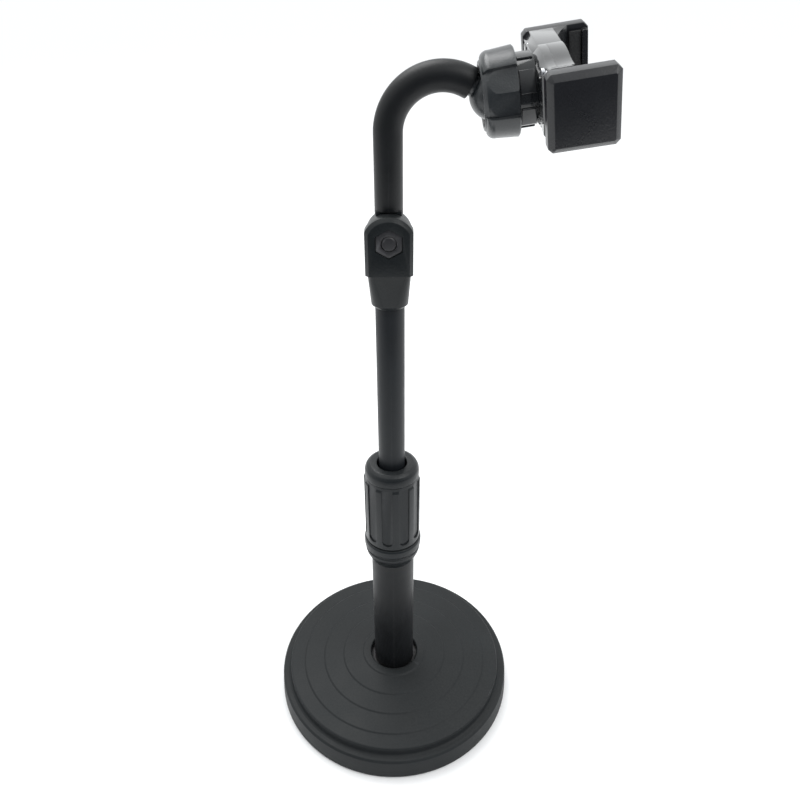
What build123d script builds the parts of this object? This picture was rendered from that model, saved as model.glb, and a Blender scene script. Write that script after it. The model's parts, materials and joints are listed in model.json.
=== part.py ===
from build123d import *
import math
import os

os.makedirs("parts", exist_ok=True)

# Desktop stand with a weighted round base, a telescopic mast with a twist lock, a bent arm on a
# lap hinge and a sprung phone clamp on a ball joint. Millimetres, +Z up. The origin is on the
# mast's axis at the face of the foot pad. The arm bends towards +X and the jaws slide along Y.

# ---------------------------------------------------------------------------- driving dimensions
# Base
BASE_R = 62.5
SKIRT_BOTTOM_Z = 0.8
LEDGE_Z = 12.3
PLATEAU_R = 56.6
PLATEAU_Z = 16.7
CROWN_Z = 21.0
RECESS_R = 12.4
TERRACE_RADII = (49.5, 38.7, 28.0, 17.1)
TERRACE_RISE = 0.55
PAD_T = 2.2
SHELL_SCREW_R = 42.0
SHELL_SCREW_COUNT = 3

# Outer tube and twist lock
TUBE_R = 10.5
TUBE_BORE_R = 9.5
TUBE_SEAT_Z = 10.0
TUBE_TOP_Z = 126.0
PLUG_TOP_Z = 19.0
FERRULE_BOTTOM_Z = 93.0
FERRULE_TOP_Z = 108.9
THREAD_R = 11.6
GRIP_BOTTOM_Z = 109.4
GRIP_TOP_Z = 147.4
GRIP_R = 13.2
GRIP_BAND_R = 12.6
FLUTE_COUNT = 10
FLUTE_W = 5.2
FLUTE_FLAT_R = 12.45
FLUTE_BOTTOM_Z = 112.0
FLUTE_TOP_Z = 144.8
FLUTE_PHASE = 8.0
CAP_TOP_Z = 153.6

# Inner tube, called the mast
MAST_R = 6.0
MAST_BORE_R = 5.0
MAST_BOTTOM_Z = 88.0
MAST_TOP_Z = 248.0
RUNNING_GAP = 0.06
BUSH_H = 14.0

# Lap hinge between the mast and the arm
HEAD_BOTTOM_Z = 234.5
HEAD_BLOCK_Z = 250.4
HINGE_Z = 263.4
HEAD_W = 18.4
EAR_R = 10.1
EAR_FRONT_Y = -10.0
EAR_BACK_Y = -4.2
EAR_BEVEL = 1.4
LAP_FLOOR_Z = 253.3
KNUCKLE_R = 8.9
KNUCKLE_HALF_T = 3.8
BOLT_R = 3.0
NUT_AF = 10.0
NUT_POCKET_DEPTH = 3.6

# Bent arm
ARM_R = 5.35
ARM_BORE_R = 4.35
ARM_BOTTOM_Z = 273.9
BEND_Z = 301.3
BEND_R = 19.0
BEND_TURN = 115.0
ARM_RUN_OUT = 1.9
BALL_REACH = 10.6
BALL_R = 8.5
BALL_NECK_R = 4.0

# Ball joint and clamp, measured from the ball's centre along the clamp's own axis
HEAD_TILT = 8.5
HEAD_ROLL = 5.8
NUT_REAR_T = -4.4
NUT_FRONT_T = 7.5
NUT_BODY_R = 13.2
NUT_LOBE_R = 14.9
NUT_FLAT_R = 12.7
LOBE_COUNT = 3
LOBE_ARC = 52.0
LOBE_START = -14.0
SOCKET_NECK_R = 11.7
SOCKET_THREAD_R = 11.1
CLAMP_BACK_T = 13.7
CLAMP_SPLIT_T = 19.0
CLAMP_FRONT_T = 24.5
JAW_TIP_T = 37.0
JAW_H = 24.8
JAW_OUTER_Y = 30.0
JAW_INNER_Y = 23.0
JAW_CHAMFER = 2.0
JAW_CORNER = 1.5
LIP_W = 2.3
LIP_H = 1.8
PAD_THICK = 1.0
TONGUE_LOW_T = 17.0
TONGUE_HIGH_T = 21.0
TONGUE_HALF_H = 7.6
TONGUE_END_Y = 19.5
SPRING_R = 1.6
SPRING_OFFSET = 4.6
SPRING_START_Y = 6.0
SPRING_END_Y = 21.3
CASE_SCREW_SPAN_Y = 30.0
CASE_SCREW_SPAN_H = 18.6
CASE_SCREW_HEAD_R = 1.45

# ---------------------------------------------------------------------------- shared frames

def bend_point(turn):
    """Point of the arm's centre line after the given turn of the bend, in degrees."""
    angle = math.radians(turn)
    return Vector(BEND_R - BEND_R * math.cos(angle), 0, BEND_Z + BEND_R * math.sin(angle))


def arm_direction(turn):
    """Direction of the arm's centre line after the given turn of the bend, in degrees."""
    angle = math.radians(turn)
    return Vector(math.sin(angle), 0, math.cos(angle))


ARM_DIR = arm_direction(BEND_TURN)
BALL = bend_point(BEND_TURN) + ARM_DIR * BALL_REACH
TILT_RAD = math.radians(HEAD_TILT)
OUT_DIR = Vector(math.cos(TILT_RAD), 0, math.sin(TILT_RAD))
HEAD_SPIN = Axis((0, 0, 0), OUT_DIR)
UP_DIR = Vector(-math.sin(TILT_RAD), 0, math.cos(TILT_RAD)).rotate(HEAD_SPIN, HEAD_ROLL)
SIDE_DIR = Vector(0, 1, 0).rotate(HEAD_SPIN, HEAD_ROLL)

HEAD_AXIS = Axis(BALL, OUT_DIR)
SIDE_AXIS = Axis(BALL, SIDE_DIR)
ACROSS = Plane(origin=BALL, x_dir=SIDE_DIR, z_dir=OUT_DIR)
MERIDIAN = Plane(origin=BALL, x_dir=OUT_DIR, z_dir=SIDE_DIR * -1)
DECK = Plane(origin=BALL, x_dir=OUT_DIR, z_dir=UP_DIR)
STUD_AXIS = Axis(BALL, ARM_DIR)
STUD_MERIDIAN = Plane(origin=BALL, x_dir=-ARM_DIR, z_dir=(0, -1, 0))


def jaw_plane(y):
    """Plane facing -Y at the given y, with local x along the clamp's axis and local y up."""
    return MERIDIAN.offset(-y)


# ---------------------------------------------------------------------------- base
def terrace_points():
    """Points of the crowned top, from the plateau's edge in to the recess round the tube."""
    run = PLATEAU_R - RECESS_R
    slope = (CROWN_Z - PLATEAU_Z - len(TERRACE_RADII) * TERRACE_RISE) / run
    points = [(PLATEAU_R, PLATEAU_Z)]
    for count, radius in enumerate(TERRACE_RADII):
        foot_z = PLATEAU_Z + slope * (PLATEAU_R - radius) + count * TERRACE_RISE
        points.append((radius + 0.35, foot_z))
        points.append((radius - 0.35, foot_z + TERRACE_RISE))
    points.append((RECESS_R + 0.6, CROWN_Z))
    return points


# Moulded cover: skirt, ledge, groove and terraced crown, hollow below, with three screw bosses.
with BuildPart() as base_shell:
    with BuildSketch(Plane.XZ):
        with BuildLine():
            Polyline(
                (BASE_R - 2.3, SKIRT_BOTTOM_Z),
                (BASE_R, SKIRT_BOTTOM_Z),
                (BASE_R, 2.2),
                (BASE_R - 0.6, LEDGE_Z - 1.0),
                (BASE_R - 1.5, LEDGE_Z),
                (BASE_R - 3.6, LEDGE_Z),
                (PLATEAU_R + 1.4, LEDGE_Z + 0.5),
                (PLATEAU_R + 1.0, LEDGE_Z + 1.5),
                (PLATEAU_R + 0.8, PLATEAU_Z - 0.8),
                *terrace_points(),
                (RECESS_R, CROWN_Z - 0.6),
                (RECESS_R, CROWN_Z - 2.8),
                (PLATEAU_R - 2.0, 14.0),
                (PLATEAU_R - 1.7, 10.0),
                (BASE_R - 2.6, 10.0),
                close=True,
            )
        make_face()
    revolve(axis=Axis.Z)
    with BuildSketch(Plane.XY.offset(9.0)):
        with PolarLocations(SHELL_SCREW_R, SHELL_SCREW_COUNT):
            Circle(3.6)
    extrude(amount=6.6)
    with BuildSketch(Plane.XY.offset(9.0)):
        with PolarLocations(SHELL_SCREW_R, SHELL_SCREW_COUNT):
            Circle(1.55)
    extrude(amount=5.0, mode=Mode.SUBTRACT)
base_shell.part.label = "base_shell"
export_step(base_shell.part, "parts/base_shell.step")

# Cast disc that keeps the stand upright, with the tube's seat in its hub.
with BuildPart() as base_weight:
    with BuildSketch(Plane.XZ):
        with BuildLine():
            Polyline(
                (4.2, 7.0),
                (10.0, 7.0),
                (10.0, PAD_T),
                (BASE_R - 3.1, PAD_T),
                (BASE_R - 3.1, 9.4),
                (PLATEAU_R - 2.4, 9.4),
                (PLATEAU_R - 2.4, 13.4),
                (18.0, 13.4),
                (18.0, 16.9),
                (TUBE_R + 0.05, 16.9),
                (TUBE_R + 0.05, TUBE_SEAT_Z),
                (4.2, TUBE_SEAT_Z),
                close=True,
            )
        make_face()
    revolve(axis=Axis.Z)
    for low_z, high_z, radius in ((PAD_T, 6.0, 3.8), (6.0, 8.7, 1.8), (8.7, 13.4, 4.0)):
        with BuildSketch(Plane.XY.offset(low_z)):
            with PolarLocations(SHELL_SCREW_R, SHELL_SCREW_COUNT):
                Circle(radius)
        extrude(amount=high_z - low_z, mode=Mode.SUBTRACT)
base_weight.part.label = "base_weight"
export_step(base_weight.part, "parts/base_weight.step")

# Foam rubber pad under the whole weight.
with BuildPart() as base_pad:
    Cylinder(BASE_R - 4.5, PAD_T, align=(Align.CENTER, Align.CENTER, Align.MIN))
    chamfer(base_pad.edges().group_by(Axis.Z)[0], 0.5)
base_pad.part.label = "base_pad"
export_step(base_pad.part, "parts/base_pad.step")

# Self-tapping screws that hold the cover down on the weight.
with BuildPart() as shell_screws:
    for low_z, high_z, radius in ((3.9, 6.0, 3.3), (6.0, 13.6, 1.5)):
        with BuildSketch(Plane.XY.offset(low_z)):
            with PolarLocations(SHELL_SCREW_R, SHELL_SCREW_COUNT):
                Circle(radius)
        extrude(amount=high_z - low_z)
shell_screws.part.label = "shell_screws"
export_step(shell_screws.part, "parts/shell_screws.step")

with BuildPart() as base_washer:
    with BuildSketch(Plane.XY.offset(6.2)):
        Circle(8.0)
        Circle(4.2, mode=Mode.SUBTRACT)
    extrude(amount=0.8)
base_washer.part.label = "base_washer"
export_step(base_washer.part, "parts/base_washer.step")

# Hexagon bolt from below into the tube's plug.
with BuildPart() as base_bolt:
    with BuildSketch(Plane.XY.offset(2.6)):
        RegularPolygon(6.5, 6, major_radius=False)
    extrude(amount=3.6)
    with BuildSketch(Plane.XY.offset(6.2)):
        Circle(3.95)
    extrude(amount=PLUG_TOP_Z - 7.2)
base_bolt.part.label = "base_bolt"
export_step(base_bolt.part, "parts/base_bolt.step")

# ---------------------------------------------------------------------------- tube and lock
with BuildPart() as tube_plug:
    with BuildSketch(Plane.XY.offset(TUBE_SEAT_Z)):
        Circle(TUBE_BORE_R - 0.03)
        Circle(4.0, mode=Mode.SUBTRACT)
    extrude(amount=PLUG_TOP_Z - TUBE_SEAT_Z)
tube_plug.part.label = "tube_plug"
export_step(tube_plug.part, "parts/tube_plug.step")

with BuildPart() as outer_tube:
    with BuildSketch(Plane.XY.offset(TUBE_SEAT_Z)):
        Circle(TUBE_R)
        Circle(TUBE_BORE_R, mode=Mode.SUBTRACT)
    extrude(amount=TUBE_TOP_Z - TUBE_SEAT_Z)
outer_tube.part.label = "outer_tube"
export_step(outer_tube.part, "parts/outer_tube.step")

# Fixed lower half of the lock: tapered skirt, groove, bead and the spigot with the coarse thread.
with BuildPart() as lock_ferrule:
    with BuildSketch(Plane.XZ):
        with BuildLine():
            Polyline(
                (TUBE_R + 0.05, FERRULE_BOTTOM_Z),
                (11.1, FERRULE_BOTTOM_Z),
                (13.3, 101.0),
                (13.3, 102.6),
                (12.9, 102.9),
                (12.9, 103.6),
                (13.45, 103.9),
                (13.8, 104.8),
                (13.8, 107.9),
                (13.3, FERRULE_TOP_Z),
                (THREAD_R, FERRULE_TOP_Z),
                (THREAD_R, TUBE_TOP_Z),
                (TUBE_R + 0.05, TUBE_TOP_Z),
                close=True,
            )
        make_face()
    revolve(axis=Axis.Z)
lock_ferrule.part.label = "lock_ferrule"
export_step(lock_ferrule.part, "parts/lock_ferrule.step")

# Split collet that the collar's cone squeezes onto the mast.
with BuildPart() as lock_collet:
    with BuildSketch(Plane.XZ):
        with BuildLine():
            Polyline(
                (MAST_R + RUNNING_GAP, 120.0),
                (TUBE_BORE_R - 0.1, 120.0),
                (TUBE_BORE_R - 0.1, TUBE_TOP_Z + 0.1),
                (11.0, TUBE_TOP_Z + 0.1),
                (11.0, TUBE_TOP_Z + 2.0),
                (10.3, TUBE_TOP_Z + 2.4),
                (8.1, 143.5),
                (MAST_R + RUNNING_GAP, 143.5),
                close=True,
            )
        make_face()
    revolve(axis=Axis.Z)
    with BuildSketch(Plane.XY.offset(131.0)):
        Rectangle(24, 1.2)
        Rectangle(1.2, 24)
    extrude(amount=13, mode=Mode.SUBTRACT)
lock_collet.part.label = "lock_collet"
export_step(lock_collet.part, "parts/lock_collet.step")

# Twist collar: ten flutes with rounded lower ends leave ten narrow grip ribs.
with BuildPart() as lock_collar:
    with BuildSketch(Plane.XZ):
        with BuildLine():
            Polyline(
                (THREAD_R + 0.3, GRIP_BOTTOM_Z),
                (GRIP_R - 0.5, GRIP_BOTTOM_Z),
                (GRIP_R, GRIP_BOTTOM_Z + 0.5),
                (GRIP_R, FLUTE_TOP_Z),
                (GRIP_BAND_R, FLUTE_TOP_Z + 1.0),
                (GRIP_BAND_R, GRIP_TOP_Z),
                (10.6, GRIP_TOP_Z),
                (10.6, 144.3),
                (9.0, 144.3),
                (11.4, TUBE_TOP_Z + 3.0),
                (THREAD_R + 0.3, TUBE_TOP_Z + 3.0),
                close=True,
            )
        make_face()
    revolve(axis=Axis.Z)
    flute_h = FLUTE_TOP_Z + 2.0 + FLUTE_W - FLUTE_BOTTOM_Z
    flute_mid_z = FLUTE_BOTTOM_Z + flute_h / 2
    for index in range(FLUTE_COUNT):
        angle = math.radians(FLUTE_PHASE + 360.0 * (index + 0.5) / FLUTE_COUNT - 90.0)
        outward = Vector(math.cos(angle), math.sin(angle), 0)
        flute_plane = Plane(
            origin=outward * FLUTE_FLAT_R + Vector(0, 0, flute_mid_z),
            x_dir=(0, 0, 1),
            z_dir=outward,
        )
        with BuildSketch(flute_plane):
            SlotOverall(flute_h, FLUTE_W)
        extrude(amount=2.0, mode=Mode.SUBTRACT)
lock_collar.part.label = "lock_collar"
export_step(lock_collar.part, "parts/lock_collar.step")

with BuildPart() as collar_cap:
    with BuildSketch(Plane.XZ):
        with BuildLine():
            Polyline(
                (6.8, 144.8),
                (10.5, 144.8),
                (10.5, GRIP_TOP_Z + 0.1),
                (12.5, GRIP_TOP_Z + 0.1),
                (12.7, GRIP_TOP_Z + 0.4),
                (12.4, CAP_TOP_Z - 2.4),
                (10.1, CAP_TOP_Z),
                (7.2, CAP_TOP_Z),
                (6.8, CAP_TOP_Z - 0.4),
                close=True,
            )
        make_face()
    revolve(axis=Axis.Z)
collar_cap.part.label = "collar_cap"
export_step(collar_cap.part, "parts/collar_cap.step")

# ---------------------------------------------------------------------------- mast
with BuildPart() as inner_tube:
    with BuildSketch(Plane.XY.offset(MAST_BOTTOM_Z)):
        Circle(MAST_R)
        Circle(MAST_BORE_R, mode=Mode.SUBTRACT)
    extrude(amount=MAST_TOP_Z - MAST_BOTTOM_Z)
inner_tube.part.label = "inner_tube"
export_step(inner_tube.part, "parts/inner_tube.step")

# Plastic bush that centres the mast's foot in the outer tube and slides with it.
with BuildPart() as slide_bush:
    with BuildSketch(Plane.XY.offset(MAST_BOTTOM_Z + 0.2)):
        Circle(TUBE_BORE_R - 0.08)
        Circle(MAST_R + RUNNING_GAP, mode=Mode.SUBTRACT)
    extrude(amount=BUSH_H)
slide_bush.part.label = "slide_bush"
export_step(slide_bush.part, "parts/slide_bush.step")

# Stop plug in the mast's foot, whose flange keeps the bush on.
with BuildPart() as mast_stop:
    with BuildSketch(Plane.XY.offset(MAST_BOTTOM_Z - 2.5)):
        Circle(8.0)
    extrude(amount=2.5)
    with BuildSketch(Plane.XY.offset(MAST_BOTTOM_Z)):
        Circle(MAST_BORE_R - 0.03)
    extrude(amount=9.0)
mast_stop.part.label = "mast_stop"
export_step(mast_stop.part, "parts/mast_stop.step")

# Mast head: a tapered sleeve over the mast's end, growing into a block with one round ear.
with BuildPart() as mast_head:
    with BuildSketch(Plane.XZ.offset(-EAR_FRONT_Y - EAR_BEVEL)) as ear_outline:
        with Locations((0, HINGE_Z - EAR_R)):
            Rectangle(HEAD_W, 2 * EAR_R)
        with Locations((0, HINGE_Z)):
            Circle(EAR_R)
        with Locations((0, HINGE_Z)):
            Rectangle(HEAD_W, 60, mode=Mode.INTERSECT)
    extrude(amount=EAR_BEVEL, taper=45)
    extrude(ear_outline.sketch, amount=2 * EAR_FRONT_Y + EAR_BEVEL)
    with BuildSketch(Plane.XY.offset(HEAD_BLOCK_Z)):
        Rectangle(40, 40)
    extrude(amount=-20, mode=Mode.SUBTRACT)
    with BuildSketch(Plane.XY.offset(HEAD_BOTTOM_Z)):
        RectangleRounded(12.0, 12.6, 4.6)
    with BuildSketch(Plane.XY.offset(HEAD_BOTTOM_Z + 1.6)):
        RectangleRounded(14.8, 15.4, 5.2)
    loft()
    with BuildSketch(Plane.XY.offset(HEAD_BOTTOM_Z + 1.6)):
        RectangleRounded(14.8, 15.4, 5.2)
    with BuildSketch(Plane.XY.offset(HEAD_BLOCK_Z)):
        RectangleRounded(HEAD_W - 1.6, 2 * abs(EAR_FRONT_Y) - 1.4, 2.4)
    loft()
    # The arm's knuckle turns behind the ear, over the lap floor.
    with BuildSketch(Plane.XZ.offset(-EAR_BACK_Y)):
        with Locations((0, LAP_FLOOR_Z + 15)):
            Rectangle(30, 30)
    extrude(amount=-30, mode=Mode.SUBTRACT)
    with BuildSketch(Plane.XY.offset(HEAD_BOTTOM_Z - 1)):
        Circle(MAST_R + 0.02)
    extrude(amount=MAST_TOP_Z + 0.5 - HEAD_BOTTOM_Z + 1, mode=Mode.SUBTRACT)
    with BuildSketch(Plane.XZ.offset(-EAR_FRONT_Y)):
        with Locations((0, HINGE_Z)):
            Circle(BOLT_R + 0.1)
    extrude(amount=-10, mode=Mode.SUBTRACT)
    with BuildSketch(Plane.XZ.offset(-EAR_FRONT_Y)):
        with Locations((0, HINGE_Z)):
            RegularPolygon(NUT_AF / 2 + 0.15, 6, major_radius=False, rotation=30)
    extrude(amount=-NUT_POCKET_DEPTH, mode=Mode.SUBTRACT)
mast_head.part.label = "mast_head"
export_step(mast_head.part, "parts/mast_head.step")

# ---------------------------------------------------------------------------- lap hinge
with BuildPart() as hinge_nut:
    with BuildSketch(Plane.XZ.offset(-EAR_FRONT_Y - 0.5)):
        with Locations((0, HINGE_Z)):
            RegularPolygon(NUT_AF / 2, 6, major_radius=False, rotation=30)
            Circle(BOLT_R + 0.03, mode=Mode.SUBTRACT)
    extrude(amount=-(NUT_POCKET_DEPTH - 0.55))
hinge_nut.part.label = "hinge_nut"
export_step(hinge_nut.part, "parts/hinge_nut.step")

# Bolt from behind: domed head, shank through the knuckle and the ear, chamfered end in the nut.
with BuildPart() as hinge_bolt:
    with BuildSketch(Plane.YZ):
        with BuildLine():
            Polyline(
                (EAR_FRONT_Y + 0.3, HINGE_Z),
                (EAR_FRONT_Y + 0.3, HINGE_Z + BOLT_R - 0.6),
                (EAR_FRONT_Y + 0.9, HINGE_Z + BOLT_R),
                (KNUCKLE_HALF_T + 1.0, HINGE_Z + BOLT_R),
                (KNUCKLE_HALF_T + 1.0, HINGE_Z + 5.2),
                (KNUCKLE_HALF_T + 2.2, HINGE_Z + 5.2),
                (KNUCKLE_HALF_T + 3.6, HINGE_Z + 4.2),
                (KNUCKLE_HALF_T + 4.4, HINGE_Z + 2.4),
                (KNUCKLE_HALF_T + 4.4, HINGE_Z),
                close=True,
            )
        make_face()
    revolve(axis=Axis((0, 0, HINGE_Z), (0, 1, 0)))
    with BuildSketch(Plane.XZ.offset(-(KNUCKLE_HALF_T + 4.4))):
        with Locations((0, HINGE_Z)):
            RegularPolygon(2.0, 6, major_radius=False)
    extrude(amount=2.2, mode=Mode.SUBTRACT)
hinge_bolt.part.label = "hinge_bolt"
export_step(hinge_bolt.part, "parts/hinge_bolt.step")

with BuildPart() as hinge_washer:
    with BuildSketch(Plane.XZ.offset(-KNUCKLE_HALF_T - 0.02)):
        with Locations((0, HINGE_Z)):
            Circle(6.2)
            Circle(BOLT_R + 0.05, mode=Mode.SUBTRACT)
    extrude(amount=-0.95)
hinge_washer.part.label = "hinge_washer"
export_step(hinge_washer.part, "parts/hinge_washer.step")

# Fibre disc that gives the lap hinge its friction.
with BuildPart() as friction_washer:
    with BuildSketch(Plane.XZ.offset(-EAR_BACK_Y - 0.02)):
        with Locations((0, HINGE_Z)):
            Circle(8.0)
            Circle(BOLT_R + 0.12, mode=Mode.SUBTRACT)
    extrude(amount=-0.36)
friction_washer.part.label = "friction_washer"
export_step(friction_washer.part, "parts/friction_washer.step")

# ---------------------------------------------------------------------------- arm
# Knuckle: a disc on the bolt with a neck and a plug that the arm's tube is pressed over.
with BuildPart() as arm_knuckle:
    with BuildSketch(Plane.XZ.offset(-KNUCKLE_HALF_T)):
        with Locations((0, HINGE_Z)):
            Circle(KNUCKLE_R)
        with Locations((0, (HINGE_Z + ARM_BOTTOM_Z) / 2)):
            Rectangle(9.6, ARM_BOTTOM_Z - HINGE_Z)
    extrude(amount=2 * KNUCKLE_HALF_T)
    with BuildSketch(Plane.XY.offset(ARM_BOTTOM_Z - 0.2)):
        Circle(ARM_BORE_R - 0.02)
    extrude(amount=10.0)
    with BuildSketch(Plane.XZ.offset(-KNUCKLE_HALF_T)):
        with Locations((0, HINGE_Z)):
            Circle(BOLT_R + 0.08)
    extrude(amount=2 * KNUCKLE_HALF_T, mode=Mode.SUBTRACT)
arm_knuckle.part.label = "arm_knuckle"
export_step(arm_knuckle.part, "parts/arm_knuckle.step")

# Arm: one tube, straight up, round the bend and a short straight run down to the ball.
with BuildPart() as arm_tube:
    with BuildLine() as arm_route:
        Line((0, 0, ARM_BOTTOM_Z), (0, 0, BEND_Z))
        ThreePointArc((0, 0, BEND_Z), bend_point(BEND_TURN / 2), bend_point(BEND_TURN))
        Line(bend_point(BEND_TURN), bend_point(BEND_TURN) + ARM_DIR * ARM_RUN_OUT)
    with BuildSketch(Plane.XY.offset(ARM_BOTTOM_Z)):
        Circle(ARM_R)
        Circle(ARM_BORE_R, mode=Mode.SUBTRACT)
    sweep(path=arm_route.line)
arm_tube.part.label = "arm_tube"
export_step(arm_tube.part, "parts/arm_tube.step")

# Ball with a narrow neck and a plug pressed into the end of the arm's tube.
with BuildPart() as arm_ball:
    with BuildSketch(STUD_MERIDIAN):
        with BuildLine():
            neck_t = math.sqrt(BALL_R**2 - BALL_NECK_R**2)
            tube_end_t = BALL_REACH - ARM_RUN_OUT
            ThreePointArc((-BALL_R, 0), (0, BALL_R), (neck_t, BALL_NECK_R))
            Polyline(
                (neck_t, BALL_NECK_R),
                (tube_end_t, BALL_NECK_R),
                (tube_end_t, ARM_BORE_R - 0.02),
                (tube_end_t + ARM_RUN_OUT, ARM_BORE_R - 0.02),
                (tube_end_t + 6.0, ARM_BORE_R - 0.8),
                (tube_end_t + 6.0, 0),
                (-BALL_R, 0),
            )
        make_face()
    revolve(axis=STUD_AXIS)
arm_ball.part.label = "arm_ball"
export_step(arm_ball.part, "parts/arm_ball.step")

# ---------------------------------------------------------------------------- ball joint
# Cup of tough plastic between the ball's nose and the floor of the socket.
SEAT_IN_R = BALL_R + 0.06
SEAT_OUT_R = BALL_R + 1.2
SEAT_HALF_ANGLE = 34.0


def polar(radius, degrees):
    """Point in a meridian sketch at a radius and an angle from the clamp's axis."""
    angle = math.radians(degrees)
    return (radius * math.cos(angle), radius * math.sin(angle))


with BuildPart() as ball_seat:
    with BuildSketch(MERIDIAN):
        with BuildLine():
            ThreePointArc(
                (SEAT_IN_R, 0), polar(SEAT_IN_R, SEAT_HALF_ANGLE / 2), polar(SEAT_IN_R, SEAT_HALF_ANGLE)
            )
            Line(polar(SEAT_IN_R, SEAT_HALF_ANGLE), polar(SEAT_OUT_R, SEAT_HALF_ANGLE))
            ThreePointArc(
                polar(SEAT_OUT_R, SEAT_HALF_ANGLE), polar(SEAT_OUT_R, SEAT_HALF_ANGLE / 2), (SEAT_OUT_R, 0)
            )
            Line((SEAT_OUT_R, 0), (SEAT_IN_R, 0))
        make_face()
    revolve(axis=HEAD_AXIS)
ball_seat.part.label = "ball_seat"
export_step(ball_seat.part, "parts/ball_seat.step")

# Dished washer that backs the cup and spreads its load.
WASHER_DISH_R = SEAT_OUT_R + 0.06
with BuildPart() as seat_washer:
    with BuildSketch(MERIDIAN):
        with BuildLine():
            ThreePointArc(polar(WASHER_DISH_R, 12), polar(WASHER_DISH_R, 20), polar(WASHER_DISH_R, 28))
            Polyline(
                polar(WASHER_DISH_R, 28),
                (WASHER_DISH_R + 0.9, polar(WASHER_DISH_R, 28)[1]),
                (WASHER_DISH_R + 0.9, polar(WASHER_DISH_R, 12)[1]),
                polar(WASHER_DISH_R, 12),
            )
        make_face()
    revolve(axis=HEAD_AXIS)
seat_washer.part.label = "seat_washer"
export_step(seat_washer.part, "parts/seat_washer.step")

# Socket: fingers round the ball, the thread for the lock nut, the slotted neck and a flange.
with BuildPart() as ball_socket:
    with BuildSketch(MERIDIAN):
        with BuildLine():
            Polyline(
                (CLAMP_BACK_T + 2.6, 0),
                (WASHER_DISH_R + 1.0, 0),
                (WASHER_DISH_R + 1.0, 5.2),
                polar(SEAT_OUT_R + 0.3, 32),
                polar(SEAT_OUT_R + 0.3, 57),
                polar(BALL_R + 0.05, 57),
            )
            ThreePointArc(
                polar(BALL_R + 0.05, 57), polar(BALL_R + 0.05, 82), polar(BALL_R + 0.05, 106)
            )
            Polyline(
                polar(BALL_R + 0.05, 106),
                (polar(BALL_R + 0.05, 106)[0], 9.7),
                (-0.6, SOCKET_THREAD_R),
                (NUT_FRONT_T + 0.2, SOCKET_THREAD_R),
                (NUT_FRONT_T + 0.2, SOCKET_NECK_R),
                (CLAMP_BACK_T - 0.02, SOCKET_NECK_R),
                (CLAMP_BACK_T - 0.02, 9.0),
                (CLAMP_BACK_T + 2.6, 9.0),
                (CLAMP_BACK_T + 2.6, 0),
            )
        make_face()
    revolve(axis=HEAD_AXIS)
    with BuildSketch(ACROSS.offset(-3)):
        Rectangle(30, 1.6)
        Rectangle(1.6, 30)
    extrude(amount=9.6, mode=Mode.SUBTRACT)
ball_socket.part.label = "ball_socket"
export_step(ball_socket.part, "parts/ball_socket.step")

def nut_outline():
    """Corners of the lock nut's body between its lobes: two flats that meet on a ridge in each gap."""
    pitch = 360.0 / LOBE_COUNT
    gap = pitch - LOBE_ARC
    first_ridge = 90.0 + LOBE_START - gap / 2
    corners = []
    for index in range(LOBE_COUNT):
        ridge = first_ridge + index * pitch
        corners.append(polar(NUT_FLAT_R / math.cos(math.radians(gap / 4)), ridge))
        hidden_turn = (pitch - gap / 2) / 2
        corners.append(polar(NUT_FLAT_R / math.cos(math.radians(hidden_turn)), ridge + pitch / 2))
    return corners


# Lock nut with raised lobes for the fingers, whose far ends are rounded off.
with BuildPart() as ball_nut:
    with BuildSketch(MERIDIAN):
        with BuildLine():
            Polyline(
                (NUT_REAR_T, 10.3),
                (NUT_REAR_T, 11.3),
                (NUT_REAR_T + 1.4, 12.5),
                (NUT_REAR_T + 4.0, NUT_BODY_R),
                (NUT_FRONT_T - 0.5, NUT_BODY_R + 0.3),
                (NUT_FRONT_T, NUT_BODY_R - 0.2),
                (NUT_FRONT_T, SOCKET_THREAD_R + 0.3),
                (-0.4, SOCKET_THREAD_R + 0.3),
                (NUT_REAR_T + 1.6, 10.3),
                close=True,
            )
        make_face()
    revolve(axis=HEAD_AXIS)
    with BuildSketch(ACROSS.offset(NUT_REAR_T - 1)):
        with BuildLine():
            Polyline(*nut_outline(), close=True)
        make_face()
    extrude(amount=NUT_FRONT_T - NUT_REAR_T + 2, mode=Mode.INTERSECT)
    for index in range(LOBE_COUNT):
        turn = LOBE_START + 360.0 * index / LOBE_COUNT
        side = Plane(origin=BALL, x_dir=OUT_DIR, z_dir=MERIDIAN.z_dir.rotate(HEAD_SPIN, turn))
        with BuildSketch(side):
            with BuildLine():
                Line((NUT_REAR_T + 0.5, 11.6), (NUT_REAR_T + 0.5, 12.2))
                ThreePointArc(
                    (NUT_REAR_T + 0.5, 12.2), (NUT_REAR_T + 1.3, 13.5), (NUT_REAR_T + 3.6, 14.3)
                )
                Polyline(
                    (NUT_REAR_T + 3.6, 14.3),
                    (NUT_FRONT_T - 0.5, NUT_LOBE_R),
                    (NUT_FRONT_T, NUT_LOBE_R - 0.5),
                    (NUT_FRONT_T, 11.6),
                    (NUT_REAR_T + 0.5, 11.6),
                )
            make_face()
        revolve(axis=HEAD_AXIS, revolution_arc=LOBE_ARC)
ball_nut.part.label = "ball_nut"
export_step(ball_nut.part, "parts/ball_nut.step")

# ---------------------------------------------------------------------------- phone clamp
HALF_H = JAW_H / 2
BODY_LOW_Y = -JAW_INNER_Y + 0.4
BODY_HIGH_Y = JAW_INNER_Y - 0.05
WAIST_H = HALF_H - 1.2
HUMP_H = HALF_H + 0.3
POCKET_HALF_H = TONGUE_HALF_H + 0.4
POCKET_END_Y = SPRING_END_Y + 0.1
JAW_MID_T = (CLAMP_BACK_T + JAW_TIP_T) / 2


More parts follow.
